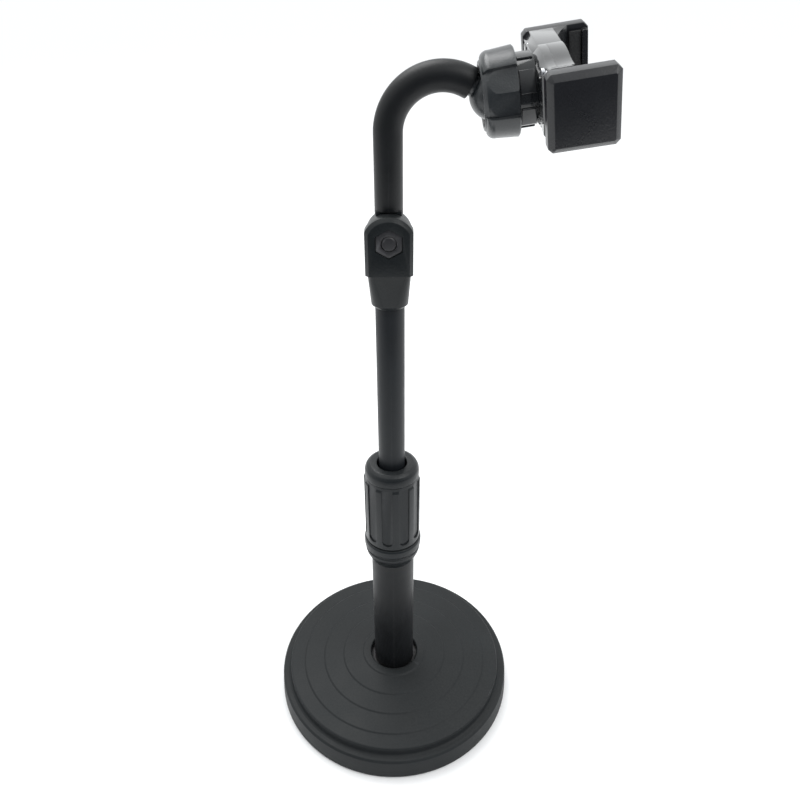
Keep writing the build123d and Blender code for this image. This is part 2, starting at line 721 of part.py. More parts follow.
def body_outline(low_t, high_t):
    """Prism between two stations along the axis, waisted beside the jaws and full in the middle."""
    with BuildPart() as prism:
        with BuildSketch(ACROSS.offset(low_t)):
            with BuildLine():
                Line((BODY_LOW_Y, -HALF_H), (BODY_LOW_Y, HALF_H))
                ThreePointArc((BODY_LOW_Y, HALF_H), (-16.5, WAIST_H), (-9, HALF_H - 0.7))
                ThreePointArc((-9, HALF_H - 0.7), (0, HUMP_H), (9, HALF_H - 0.7))
                ThreePointArc((9, HALF_H - 0.7), (16.5, WAIST_H), (BODY_HIGH_Y, HALF_H))
                Line((BODY_HIGH_Y, HALF_H), (BODY_HIGH_Y, -HALF_H))
                ThreePointArc((BODY_HIGH_Y, -HALF_H), (16.5, -WAIST_H), (9, 0.7 - HALF_H))
                ThreePointArc((9, 0.7 - HALF_H), (0, -HUMP_H), (-9, 0.7 - HALF_H))
                ThreePointArc((-9, 0.7 - HALF_H), (-16.5, -WAIST_H), (BODY_LOW_Y, -HALF_H))
            make_face()
        extrude(amount=high_t - low_t)
    return prism.part


# Back half of the body: bevelled behind, with the socket's seat and half the slider's pocket.
with BuildPart() as clamp_back:
    add(body_outline(CLAMP_BACK_T, CLAMP_SPLIT_T))
    back_face = clamp_back.faces().sort_by(HEAD_AXIS)[0]
    chamfer(back_face.edges(), 2.6)
    with BuildSketch(ACROSS.offset(CLAMP_BACK_T)):
        Circle(9.05)
    extrude(amount=10, mode=Mode.SUBTRACT)
    with BuildSketch(ACROSS.offset(TONGUE_LOW_T - 0.3)):
        with Locations(((BODY_LOW_Y + POCKET_END_Y) / 2, 0)):
            Rectangle(POCKET_END_Y - BODY_LOW_Y, 2 * POCKET_HALF_H)
    extrude(amount=10, mode=Mode.SUBTRACT)
    with BuildSketch(ACROSS.offset(CLAMP_BACK_T - 1)):
        with GridLocations(CASE_SCREW_SPAN_Y, CASE_SCREW_SPAN_H, 2, 2):
            Circle(1.05)
    extrude(amount=10, mode=Mode.SUBTRACT)
    with BuildSketch(ACROSS.offset(CLAMP_BACK_T - 1)):
        with GridLocations(CASE_SCREW_SPAN_Y, CASE_SCREW_SPAN_H, 2, 2):
            Circle(CASE_SCREW_HEAD_R + 0.15)
    extrude(amount=2.6, mode=Mode.SUBTRACT)
clamp_back.part.label = "clamp_back"
export_step(clamp_back.part, "parts/clamp_back.step")

# Front half of the body: the phone's rest, sweeping up into the fixed jaw.
with BuildPart() as clamp_front:
    with BuildSketch(DECK.offset(-HALF_H - 1)):
        with BuildLine():
            Line((CLAMP_SPLIT_T + 0.05, BODY_LOW_Y), (CLAMP_FRONT_T, BODY_LOW_Y))
            Line((CLAMP_FRONT_T, BODY_LOW_Y), (CLAMP_FRONT_T, 11.0))
            ThreePointArc((CLAMP_FRONT_T, 11.0), (CLAMP_FRONT_T + 1.0, 17.6), (29.5, BODY_HIGH_Y))
            Line((29.5, BODY_HIGH_Y), (CLAMP_SPLIT_T + 0.05, BODY_HIGH_Y))
            Line((CLAMP_SPLIT_T + 0.05, BODY_HIGH_Y), (CLAMP_SPLIT_T + 0.05, BODY_LOW_Y))
        make_face()
    extrude(amount=JAW_H + 2)
    add(body_outline(CLAMP_SPLIT_T, JAW_TIP_T), mode=Mode.INTERSECT)
    with BuildSketch(ACROSS.offset(CLAMP_SPLIT_T - 1)):
        with Locations(((BODY_LOW_Y + POCKET_END_Y) / 2, 0)):
            Rectangle(POCKET_END_Y - BODY_LOW_Y, 2 * POCKET_HALF_H)
    extrude(amount=TONGUE_HIGH_T + 0.3 - CLAMP_SPLIT_T + 1, mode=Mode.SUBTRACT)
    with BuildSketch(ACROSS.offset(CLAMP_SPLIT_T)):
        with GridLocations(CASE_SCREW_SPAN_Y, CASE_SCREW_SPAN_H, 2, 2):
            Circle(0.95)
    extrude(amount=4.0, mode=Mode.SUBTRACT)
clamp_front.part.label = "clamp_front"
export_step(clamp_front.part, "parts/clamp_front.step")

with BuildPart() as clamp_screws:
    for low_t, high_t, radius in ((14.2, 15.3, CASE_SCREW_HEAD_R), (15.3, 22.8, 0.9)):
        with BuildSketch(ACROSS.offset(low_t)):
            with GridLocations(CASE_SCREW_SPAN_Y, CASE_SCREW_SPAN_H, 2, 2):
                Circle(radius)
        extrude(amount=high_t - low_t)
clamp_screws.part.label = "clamp_screws"
export_step(clamp_screws.part, "parts/clamp_screws.step")


def jaw_block(outward):
    """Jaw with bevelled outer edges and an inward lip at its tip, on the +Y or -Y side."""
    with BuildPart() as block:
        with BuildSketch(jaw_plane(outward * JAW_INNER_Y)):
            with Locations((JAW_MID_T, 0)):
                Rectangle(JAW_TIP_T - CLAMP_BACK_T, JAW_H)
        extrude(amount=-outward * (JAW_OUTER_Y - JAW_INNER_Y))
        chamfer(block.edges().filter_by(SIDE_AXIS), JAW_CORNER)
        outer_face = block.faces().filter_by(SIDE_AXIS).sort_by(SIDE_AXIS)[-1 if outward > 0 else 0]
        chamfer(outer_face.edges(), JAW_CHAMFER)
        with BuildSketch(jaw_plane(outward * (JAW_INNER_Y - LIP_H))):
            with Locations((JAW_TIP_T - 0.3 - LIP_W / 2, 0)):
                RectangleRounded(LIP_W, JAW_H - 4, 0.9)
        extrude(amount=-outward * (LIP_H + 1))
    return block.part


# Fixed jaw, keyed on the end of the body.
with BuildPart() as fixed_jaw:
    add(jaw_block(1))
fixed_jaw.part.label = "fixed_jaw"
export_step(fixed_jaw.part, "parts/fixed_jaw.step")

# Sliding jaw with its tongue, open at the end for the two springs.
with BuildPart() as slide_jaw:
    add(jaw_block(-1))
    with BuildSketch(ACROSS.offset(TONGUE_LOW_T)):
        with Locations(((TONGUE_END_Y - JAW_INNER_Y - 0.5) / 2, 0)):
            Rectangle(TONGUE_END_Y + JAW_INNER_Y + 0.5, 2 * TONGUE_HALF_H)
    extrude(amount=TONGUE_HIGH_T - TONGUE_LOW_T)
    with BuildSketch(ACROSS.offset(TONGUE_LOW_T - 1)):
        with Locations(
            ((SPRING_START_Y + TONGUE_END_Y) / 2, SPRING_OFFSET),
            ((SPRING_START_Y + TONGUE_END_Y) / 2, -SPRING_OFFSET),
        ):
            Rectangle(TONGUE_END_Y - SPRING_START_Y + 0.2, 4.0)
    extrude(amount=TONGUE_HIGH_T - TONGUE_LOW_T + 2, mode=Mode.SUBTRACT)
slide_jaw.part.label = "slide_jaw"
export_step(slide_jaw.part, "parts/slide_jaw.step")

# The two springs that pull the jaws together, each drawn as the tube that its coils fill.
with BuildPart() as jaw_springs:
    with BuildSketch(jaw_plane(SPRING_START_Y)):
        with Locations((CLAMP_SPLIT_T, SPRING_OFFSET), (CLAMP_SPLIT_T, -SPRING_OFFSET)):
            Circle(SPRING_R)
            Circle(SPRING_R - 0.5, mode=Mode.SUBTRACT)
    extrude(amount=-(SPRING_END_Y - SPRING_START_Y))
jaw_springs.part.label = "jaw_springs"
export_step(jaw_springs.part, "parts/jaw_springs.step")


def jaw_pad(outward):
    """Rubber pad on a jaw's inner face, behind the lip."""
    low_t = 30.0 if outward > 0 else CLAMP_FRONT_T + 0.6
    high_t = JAW_TIP_T - LIP_W - 0.4
    with BuildPart() as pad:
        with BuildSketch(jaw_plane(outward * JAW_INNER_Y)):
            with Locations(((low_t + high_t) / 2, 0)):
                Rectangle(high_t - low_t, JAW_H - 4.4)
        extrude(amount=outward * PAD_THICK)
    return pad.part


with BuildPart() as fixed_pad:
    add(jaw_pad(1))
fixed_pad.part.label = "fixed_pad"
export_step(fixed_pad.part, "parts/fixed_pad.step")

with BuildPart() as slide_pad:
    add(jaw_pad(-1))
slide_pad.part.label = "slide_pad"
export_step(slide_pad.part, "parts/slide_pad.step")

# Thin rubber pad that the phone's back lies on.
with BuildPart() as rest_pad:
    with BuildSketch(ACROSS.offset(CLAMP_FRONT_T + 0.01)):
        with Locations((-4.5, 0)):
            RectangleRounded(28, 19, 2.5)
    extrude(amount=0.8)
rest_pad.part.label = "rest_pad"
export_step(rest_pad.part, "parts/rest_pad.step")
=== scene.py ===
"""Finishes a desktop stand with a twist-lock mast, a bent arm and a sprung phone clamp.

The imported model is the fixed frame. Every class below owns one sub-assembly: it turns, spins or
refines the meshes that are seen, rides them on their bodies and dresses them in their finishes.
"""

import json
import logging
import math
from collections.abc import Callable
from dataclasses import dataclass, field
from enum import Enum

import bpy
from mathutils import Matrix, Vector

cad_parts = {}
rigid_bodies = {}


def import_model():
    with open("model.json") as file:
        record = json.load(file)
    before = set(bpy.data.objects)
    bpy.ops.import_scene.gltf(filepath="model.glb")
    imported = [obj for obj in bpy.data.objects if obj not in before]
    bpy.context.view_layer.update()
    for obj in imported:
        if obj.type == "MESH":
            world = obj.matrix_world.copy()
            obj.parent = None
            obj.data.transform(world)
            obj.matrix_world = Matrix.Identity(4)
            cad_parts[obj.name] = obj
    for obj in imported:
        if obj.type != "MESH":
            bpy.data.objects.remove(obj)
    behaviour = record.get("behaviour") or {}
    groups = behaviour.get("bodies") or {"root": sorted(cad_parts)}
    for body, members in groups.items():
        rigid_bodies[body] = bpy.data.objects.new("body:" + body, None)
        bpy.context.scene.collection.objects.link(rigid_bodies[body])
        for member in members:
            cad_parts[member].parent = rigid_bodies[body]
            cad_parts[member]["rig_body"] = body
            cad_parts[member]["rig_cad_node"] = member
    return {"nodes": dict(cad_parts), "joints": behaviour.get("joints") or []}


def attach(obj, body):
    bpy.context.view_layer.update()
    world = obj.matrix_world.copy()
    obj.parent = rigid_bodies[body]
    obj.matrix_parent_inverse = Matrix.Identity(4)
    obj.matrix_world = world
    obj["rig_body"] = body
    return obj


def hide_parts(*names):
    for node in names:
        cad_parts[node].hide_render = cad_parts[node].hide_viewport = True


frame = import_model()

LOG = logging.getLogger("stand")
MM = 0.001
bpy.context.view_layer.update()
JOINTS = {joint["name"]: joint for joint in frame["joints"]}
BODY_OF = {node: piece["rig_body"] for node, piece in frame["nodes"].items()}

BALL = Vector(JOINTS["ball_roll"]["pos_m"])
OUT = Vector(JOINTS["ball_roll"]["axis"]).normalized()
SIDE = -Vector(JOINTS["jaw_slide"]["axis"]).normalized()
UP = OUT.cross(SIDE)


# ------------------------------------------------------------------------------------ options
class Grain(Enum):
    """The kinds of fine surface that the finishes choose from."""

    MOULDED = "moulded"
    POWDER = "powder"
    GLOSS = "gloss"
    BRUSHED = "brushed"
    CAST = "cast"
    FOAM = "foam"


class EdgeStyle(Enum):
    """How strongly a refined piece's edges are rounded, as a radius in metres."""

    CRISP = 0.12 * MM
    MOULDED = 0.28 * MM
    SOFT = 0.45 * MM


# ------------------------------------------------------------------------------------ node groups
MIX_LOW, MIX_HIGH, MIX_RESULT = 6, 7, 2


def set_inputs(node: bpy.types.Node, values: dict[str, object]) -> None:
    """Sets a node's own input values.

    Args:
        node: A shader node.
        values: The value of each input, by the input's name.
    """
    for name, value in values.items():
        node.inputs[name].default_value = value


@dataclass
class GroupBuilder:
    """Makes one shared shader node group with named inputs and outputs.

    Attributes:
        name: The group's name.
        tree: The group's node tree, made on creation.
        source: The node that hands out the group's inputs.
        sink: The node that takes the group's outputs.
    """

    name: str
    tree: bpy.types.NodeTree = field(init=False)
    source: bpy.types.Node = field(init=False)
    sink: bpy.types.Node = field(init=False)

    def __post_init__(self) -> None:
        """Makes the empty tree with its two ends."""
        self.tree = bpy.data.node_groups.new(self.name, "ShaderNodeTree")
        self.source = self.tree.nodes.new("NodeGroupInput")
        self.sink = self.tree.nodes.new("NodeGroupOutput")

    def value_in(self, name: str, default: float) -> None:
        """Adds a number input.

        Args:
            name: The socket's name.
            default: The value it has until a material sets it.
        """
        socket = self.tree.interface.new_socket(name, in_out="INPUT", socket_type="NodeSocketFloat")
        socket.default_value = default

    def value_out(self, name: str) -> None:
        """Adds a number output called name."""
        self.tree.interface.new_socket(name, in_out="OUTPUT", socket_type="NodeSocketFloat")

    def node(self, kind: str, **settings: object) -> bpy.types.Node:
        """Adds a node of the given kind.

        Args:
            kind: The node's type.
            settings: Properties to set on it.

        Returns:
            The new node.
        """
        made = self.tree.nodes.new(kind)
        for key, value in settings.items():
            setattr(made, key, value)
        return made

    def join(self, start: bpy.types.NodeSocket, end: bpy.types.NodeSocket) -> None:
        """Links two sockets of the group."""
        self.tree.links.new(start, end)

    def maths(self, operation: str, first: object, second: object) -> bpy.types.NodeSocket:
        """Adds a Math node on two values or sockets.

        Args:
            operation: The Math node's operation.
            first: A socket or a number.
            second: A socket or a number.

        Returns:
            The node's result socket.
        """
        made = self.node("ShaderNodeMath", operation=operation)
        for socket, value in zip(made.inputs, (first, second)):
            if isinstance(value, bpy.types.NodeSocket):
                self.join(value, socket)
            else:
                socket.default_value = value
        return made.outputs[0]


def build_surface_grain() -> bpy.types.NodeTree:
    """Builds the group that all finishes use for fine relief and slow variation.

    Returns:
        A group with inputs Scale, Pitting and Blotch Scale and outputs Height and Blotch.
    """
    group = GroupBuilder("surface_grain")
    group.value_in("Scale", 1500.0)
    group.value_in("Pitting", 0.5)
    group.value_in("Blotch Scale", 40.0)
    group.value_out("Height")
    group.value_out("Blotch")
    place = group.node("ShaderNodeTexCoord").outputs["Object"]
    fine = group.node("ShaderNodeTexNoise")
    set_inputs(fine, {"Detail": 3.0, "Roughness": 0.6})
    group.join(place, fine.inputs["Vector"])
    group.join(group.source.outputs["Scale"], fine.inputs["Scale"])
    cells = group.node("ShaderNodeTexVoronoi", feature="SMOOTH_F1")
    group.join(place, cells.inputs["Vector"])
    group.join(group.source.outputs["Scale"], cells.inputs["Scale"])
    pits = group.maths("MULTIPLY", cells.outputs["Distance"], group.source.outputs["Pitting"])
    height = group.maths("ADD", fine.outputs["Fac"], pits)
    group.join(height, group.sink.inputs["Height"])
    slow = group.node("ShaderNodeTexNoise")
    set_inputs(slow, {"Detail": 5.0, "Roughness": 0.65})
    group.join(place, slow.inputs["Vector"])
    group.join(group.source.outputs["Blotch Scale"], slow.inputs["Scale"])
    spread = group.node("ShaderNodeMapRange")
    set_inputs(spread, {"From Min": 0.3, "From Max": 0.7})
    group.join(slow.outputs["Fac"], spread.inputs["Value"])
    group.join(spread.outputs["Result"], group.sink.inputs["Blotch"])
    return group.tree


def build_edge_wear() -> bpy.types.NodeTree:
    """Builds the group that finds outer edges rubbed smooth by handling.

    Returns:
        A group with inputs Amount and Breakup Scale and the output Mask.
    """
    group = GroupBuilder("edge_wear")
    group.value_in("Amount", 0.5)
    group.value_in("Breakup Scale", 300.0)
    group.value_out("Mask")
    place = group.node("ShaderNodeTexCoord").outputs["Object"]
    point = group.node("ShaderNodeNewGeometry").outputs["Pointiness"]
    edge = group.node("ShaderNodeMapRange")
    set_inputs(edge, {"From Min": 0.52, "From Max": 0.62})
    group.join(point, edge.inputs["Value"])
    rough = group.node("ShaderNodeTexNoise")
    rough.inputs["Detail"].default_value = 4.0
    group.join(place, rough.inputs["Vector"])
    group.join(group.source.outputs["Breakup Scale"], rough.inputs["Scale"])
    broken = group.maths("MULTIPLY", edge.outputs["Result"], rough.outputs["Fac"])
    mask = group.maths("MULTIPLY", broken, group.source.outputs["Amount"])
    group.join(mask, group.sink.inputs["Mask"])
    return group.tree


def build_settled_dust() -> bpy.types.NodeTree:
    """Builds the group for the thin dust on faces that look up.

    Returns:
        A group with the input Amount and the output Mask.
    """
    group = GroupBuilder("settled_dust")
    group.value_in("Amount", 0.2)
    group.value_out("Mask")
    place = group.node("ShaderNodeTexCoord").outputs["Object"]
    split = group.node("ShaderNodeSeparateXYZ")
    group.join(group.node("ShaderNodeNewGeometry").outputs["Normal"], split.inputs["Vector"])
    upward = group.node("ShaderNodeMapRange")
    set_inputs(upward, {"From Min": 0.4, "From Max": 1.0})
    group.join(split.outputs["Z"], upward.inputs["Value"])
    specks = group.node("ShaderNodeTexNoise")
    set_inputs(specks, {"Scale": 900.0, "Detail": 2.0})
    group.join(place, specks.inputs["Vector"])
    drift = group.node("ShaderNodeTexNoise")
    drift.inputs["Scale"].default_value = 30.0
    group.join(place, drift.inputs["Vector"])
    texture = group.maths("MULTIPLY", specks.outputs["Fac"], drift.outputs["Fac"])
    lying = group.maths("MULTIPLY", texture, upward.outputs["Result"])
    mask = group.maths("MULTIPLY", lying, group.source.outputs["Amount"])
    group.join(mask, group.sink.inputs["Mask"])
    return group.tree


GRAIN_GROUP = build_surface_grain()
WEAR_GROUP = build_edge_wear()
DUST_GROUP = build_settled_dust()


# ------------------------------------------------------------------------------------ finishes
@dataclass(frozen=True)
class GrainRecipe:
    """The numbers that turn the shared grain group into one kind of surface.

    Attributes:
        scale: Grains per metre.
        pitting: Share of cell-shaped relief in the height.
        depth: Depth of the relief, in metres.
        blotch_scale: Slow patches per metre.
    """

    scale: float
    pitting: float
    depth: float
    blotch_scale: float


GRAIN_RECIPES: dict[Grain, GrainRecipe] = {
    Grain.MOULDED: GrainRecipe(1700.0, 0.9, 0.05 * MM, 45.0),
    Grain.POWDER: GrainRecipe(1100.0, 0.5, 0.035 * MM, 60.0),
    Grain.GLOSS: GrainRecipe(260.0, 0.1, 0.012 * MM, 70.0),
    Grain.BRUSHED: GrainRecipe(900.0, 0.2, 0.02 * MM, 120.0),
    Grain.CAST: GrainRecipe(700.0, 1.2, 0.16 * MM, 50.0),
    Grain.FOAM: GrainRecipe(1300.0, 1.6, 0.12 * MM, 60.0),
}


DUST_COLOUR = (0.30, 0.29, 0.27)
BLOTCH_LIFT = 1.35
COAT_ROUGHNESS = 0.12
LEAST_ROUGHNESS = 0.03
RELIEF_STRENGTH = 0.8


@dataclass(frozen=True)
class Finish:
    """One finish of the stand, which builds its own material.

    Attributes:
        name: The material's name.
        colour: Linear base colour.
        worn_colour: Linear colour of rubbed edges.
        roughness: Roughness of the clean surface.
        grain: Which fine surface it has.
        patchiness: How far roughness wanders from its mean.
        wear: Strength of the edge wear.
        dust: Strength of the settled dust.
        metallic: 1.0 for bare metal.
        coat: Weight of a clear gloss coat.
        specular: Strength of the surface's own reflection, where 0.5 is ordinary plastic.
    """

    name: str
    colour: tuple[float, float, float]
    worn_colour: tuple[float, float, float]
    roughness: float
    grain: Grain
    patchiness: float = 0.06
    wear: float = 0.5
    dust: float = 0.1
    metallic: float = 0.0
    coat: float = 0.0
    specular: float = 0.5

    def build(self) -> bpy.types.Material:
        """Builds the material.

        Returns:
            A node material with grain, patches, worn edges and dust.
        """
        material = bpy.data.materials.new(self.name)
        material.use_nodes = True
        tree = material.node_tree
        shader = tree.nodes["Principled BSDF"]
        set_inputs(shader, {
            "Metallic": self.metallic,
            "Coat Weight": self.coat,
            "Coat Roughness": COAT_ROUGHNESS,
            "Specular IOR Level": self.specular,
        })
        recipe = GRAIN_RECIPES[self.grain]

        grain = tree.nodes.new("ShaderNodeGroup")
        grain.node_tree = GRAIN_GROUP
        set_inputs(grain, {
            "Scale": recipe.scale,
            "Pitting": recipe.pitting,
            "Blotch Scale": recipe.blotch_scale,
        })
        wear = tree.nodes.new("ShaderNodeGroup")
        wear.node_tree = WEAR_GROUP
        wear.inputs["Amount"].default_value = self.wear
        dust = tree.nodes.new("ShaderNodeGroup")
        dust.node_tree = DUST_GROUP
        dust.inputs["Amount"].default_value = self.dust

        lifted = tuple(BLOTCH_LIFT * c for c in self.colour)
        tone = self._mix(tree, self.colour, lifted, grain.outputs["Blotch"])
        worn = self._mix(tree, tone, self.worn_colour, wear.outputs["Mask"])
        dusty = self._mix(tree, worn, DUST_COLOUR, dust.outputs["Mask"])
        tree.links.new(dusty, shader.inputs["Base Color"])

        rough = tree.nodes.new("ShaderNodeMapRange")
        smoothest = max(self.roughness - self.patchiness, LEAST_ROUGHNESS)
        set_inputs(rough, {"To Min": smoothest, "To Max": self.roughness + self.patchiness})
        tree.links.new(grain.outputs["Blotch"], rough.inputs["Value"])
        tree.links.new(rough.outputs["Result"], shader.inputs["Roughness"])

        bump = tree.nodes.new("ShaderNodeBump")
        set_inputs(bump, {"Distance": recipe.depth, "Strength": RELIEF_STRENGTH})
        tree.links.new(grain.outputs["Height"], bump.inputs["Height"])
        tree.links.new(bump.outputs["Normal"], shader.inputs["Normal"])
        return material

    @staticmethod
    def _mix(
        tree: bpy.types.NodeTree,
        base: object,
        over: tuple[float, float, float],
        mask: bpy.types.NodeSocket,
    ) -> bpy.types.NodeSocket:
        """Lays one colour over another through a mask.

        Args:
            tree: The material's node tree.
            base: The lower colour, as a socket or a linear colour.
            over: The upper linear colour.
            mask: Where the upper colour shows.

        Returns:
            The mixed colour's socket.
        """
        mix = tree.nodes.new("ShaderNodeMix")
        mix.data_type = "RGBA"
        low, high = mix.inputs[MIX_LOW], mix.inputs[MIX_HIGH]
        if isinstance(base, bpy.types.NodeSocket):
            tree.links.new(base, low)
        else:
            low.default_value = (*base, 1.0)
        high.default_value = (*over, 1.0)
        tree.links.new(mask, mix.inputs[0])
        return mix.outputs[MIX_RESULT]


GREY_EDGE = (0.06, 0.062, 0.066)
COVER_PLASTIC = Finish(
    "cover_plastic", (0.0085, 0.0102, 0.0112), GREY_EDGE, 0.5, Grain.MOULDED,
    dust=0.06, specular=0.2,
)
TUBE_PAINT = Finish(
    "tube_paint", (0.006, 0.0068, 0.0078), (0.05, 0.05, 0.052), 0.42, Grain.POWDER, specular=0.26
)
MAST_PAINT = Finish(
    "mast_paint", (0.0085, 0.0103, 0.0124), GREY_EDGE, 0.4, Grain.POWDER, specular=0.25
)
GRIP_PLASTIC = Finish(
    "grip_plastic", (0.0075, 0.0094, 0.0108), GREY_EDGE, 0.33, Grain.MOULDED, specular=0.28
)
HEAD_PLASTIC = Finish(
    "head_plastic", (0.0065, 0.0085, 0.0096), GREY_EDGE, 0.34, Grain.MOULDED, specular=0.28
)
NUT_PLASTIC = Finish(
    "nut_plastic", (0.014, 0.0168, 0.019), GREY_EDGE, 0.3, Grain.MOULDED, specular=0.6
)
JAW_PLASTIC = Finish(
    "jaw_plastic", (0.006, 0.0065, 0.0085), GREY_EDGE, 0.3, Grain.MOULDED, specular=0.5
)
GLOSS_PLASTIC = Finish(
    "gloss_plastic", (0.012, 0.0128, 0.014), GREY_EDGE, 0.13, Grain.GLOSS,
    patchiness=0.03, coat=0.6, specular=0.75,
)
SOCKET_PLASTIC = Finish(
    "socket_plastic", (0.008, 0.0092, 0.0104), GREY_EDGE, 0.12, Grain.GLOSS, patchiness=0.03
)
NYLON = Finish("nylon", (0.04, 0.04, 0.042), (0.12, 0.12, 0.12), 0.4, Grain.MOULDED)
BLACK_STEEL = Finish(
    "black_steel", (0.016, 0.016, 0.018), (0.16, 0.16, 0.17), 0.36, Grain.BRUSHED, wear=0.8
)
ZINC_STEEL = Finish(
    "zinc_steel", (0.55, 0.56, 0.58), (0.7, 0.7, 0.72), 0.3, Grain.BRUSHED, metallic=1.0
)
CAST_IRON = Finish(
    "cast_iron", (0.05, 0.05, 0.052), (0.16, 0.15, 0.15), 0.62, Grain.CAST, metallic=0.6
)
FOOT_FOAM = Finish(
    "foot_foam", (0.012, 0.012, 0.012), (0.05, 0.05, 0.05), 0.9, Grain.FOAM, wear=0.2
)
PAD_RUBBER = Finish(
    "pad_rubber", (0.01, 0.01, 0.0105), (0.04, 0.04, 0.04), 0.7, Grain.FOAM, wear=0.2
)
FIBRE = Finish("fibre", (0.035, 0.03, 0.026), (0.08, 0.07, 0.06), 0.75, Grain.CAST)


@dataclass
class FinishRack:
    """Builds each finish once and hands out its material."""

    built: dict[str, bpy.types.Material] = field(default_factory=dict)

    def material(self, finish: Finish) -> bpy.types.Material:
        """Returns the finish's material, building it on first use."""
        if finish.name not in self.built:
            self.built[finish.name] = finish.build()
        return self.built[finish.name]

    def dress(self, piece: bpy.types.Object, finish: Finish) -> None:
        """Gives a piece one finish all over.

        Args:
            piece: A mesh object.
            finish: The finish it takes.
        """
        piece.data.materials.clear()
        piece.data.materials.append(self.material(finish))
        for face in piece.data.polygons:
            face.material_index = 0


RACK = FinishRack()

SMOOTH_BELOW = math.radians(32.0)
WELD_WITHIN = 0.002 * MM
FLAT_WITHIN = math.radians(0.6)


# ------------------------------------------------------------------------------------ workshop
def deselect_all() -> None:
    """Leaves edit mode if need be and deselects every object."""
    if bpy.context.object is not None and bpy.context.object.mode != "OBJECT":
        bpy.ops.object.mode_set(mode="OBJECT")
    bpy.ops.object.select_all(action="DESELECT")


def pick(piece: bpy.types.Object) -> None:
    """Makes one object the only selected and the active one."""
    deselect_all()
    piece.select_set(True)
    bpy.context.view_layer.objects.active = piece


def round_edges(piece: bpy.types.Object, radius: float, limit: float = 28.0) -> None:
    """Rounds a piece's sharp edges with a bevel that is applied, and smooths its shading.

    Args:
        piece: A mesh object.
        radius: The width of the rounding, in metres.
        limit: Edges turning by more than this many degrees are rounded.
    """
    pick(piece)
    bevel = piece.modifiers.new("rounding", "BEVEL")
    bevel.width = radius
    bevel.segments = 3
    bevel.limit_method = "ANGLE"
    bevel.angle_limit = math.radians(limit)
    bevel.harden_normals = False
    bpy.ops.object.modifier_apply(modifier=bevel.name)
    bpy.ops.object.shade_smooth_by_angle(angle=SMOOTH_BELOW)


def settle(piece: bpy.types.Object, place: Matrix) -> None:
    """Moves a piece made about local Z to its place, and puts the place into its mesh.

    Args:
        piece: A mesh object at the origin.
        place: Where its local frame goes in the row frame.
    """
    pick(piece)
    piece.matrix_world = place
    bpy.ops.object.transform_apply(location=True, rotation=True, scale=True)


def place_along(origin: Vector, along: Vector, across: Vector) -> Matrix:
    """Builds the placement that turns local Z to one direction and local X to another.

    Args:
        origin: Where local zero goes.
        along: Where local Z points.
        across: Where local X points, square to along.

    Returns:
        The placement as a matrix.
    """
    third = along.cross(across)
    turn = Matrix((across, third, along)).transposed().to_4x4()
    return Matrix.Translation(origin) @ turn


HEAD_PLACE = place_along(BALL, OUT, SIDE)


def turned(
    name: str, rings: list[tuple[float, float]], steps: int = 96, bore: bool = True
) -> bpy.types.Object:
    """Turns a piece about Z by growing a circle from ring to ring.

    Args:
        name: The piece's name.
        rings: Radius and height of each ring, in millimetres.
        steps: Sides of the circle.
        bore: True joins the last ring to the first; False closes both ends.

    Returns:
        The new object, at the origin.
    """
    deselect_all()
    last_r, last_z = rings[0][0] * MM, rings[0][1] * MM
    bpy.ops.mesh.primitive_circle_add(vertices=steps, radius=last_r, location=(0, 0, last_z))
    piece = bpy.context.object
    piece.name = name
    bpy.ops.object.transform_apply(location=True, rotation=True, scale=True)
    bpy.ops.object.mode_set(mode="EDIT")
    bpy.ops.mesh.select_mode(type="EDGE")
    bpy.ops.mesh.select_all(action="SELECT")
    if not bore:
        bpy.ops.mesh.edge_face_add()
        bpy.ops.mesh.poke()
        bpy.ops.mesh.select_all(action="DESELECT")
        bpy.ops.mesh.select_non_manifold()
    for ring_r, ring_z in rings[1:]:
        rise = ring_z * MM - last_z
        bpy.ops.mesh.extrude_region_move(TRANSFORM_OT_translate={"value": (0, 0, rise)})
        last_z = ring_z * MM
        ratio = ring_r * MM / last_r
        bpy.ops.transform.resize(value=(ratio, ratio, 1), center_override=(0, 0, last_z))
        last_r = ring_r * MM
    if bore:
        bpy.ops.mesh.select_all(action="DESELECT")
        bpy.ops.mesh.select_non_manifold()
        bpy.ops.mesh.bridge_edge_loops()
    else:
        bpy.ops.mesh.edge_face_add()
        bpy.ops.mesh.poke()
    bpy.ops.mesh.select_all(action="SELECT")
    bpy.ops.mesh.normals_make_consistent(inside=False)
    bpy.ops.object.mode_set(mode="OBJECT")
    return piece


def refined(node: str, style: EdgeStyle, limit: float) -> bpy.types.Object:
    """Makes a copy of a CAD node with welded faces and rounded edges.

    Args:
        node: The CAD node's name.
        style: How strongly its edges are rounded.
        limit: Edges turning by more than this many degrees are rounded.

    Returns:
        The copy, at the origin with no parent.
    """
    pick(frame["nodes"][node])
    bpy.ops.object.duplicate()
    piece = bpy.context.object
    bpy.ops.object.parent_clear(type="CLEAR_KEEP_TRANSFORM")
    piece.name = f"{node}_finished"
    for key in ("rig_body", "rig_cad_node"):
        del piece[key]
    bpy.ops.object.mode_set(mode="EDIT")
    bpy.ops.mesh.select_all(action="SELECT")
    bpy.ops.mesh.remove_doubles(threshold=WELD_WITHIN)
    bpy.ops.mesh.customdata_custom_splitnormals_clear()
    bpy.ops.mesh.dissolve_limited(angle_limit=FLAT_WITHIN)
    bpy.ops.object.mode_set(mode="OBJECT")
    round_edges(piece, style.value, limit)
    return piece


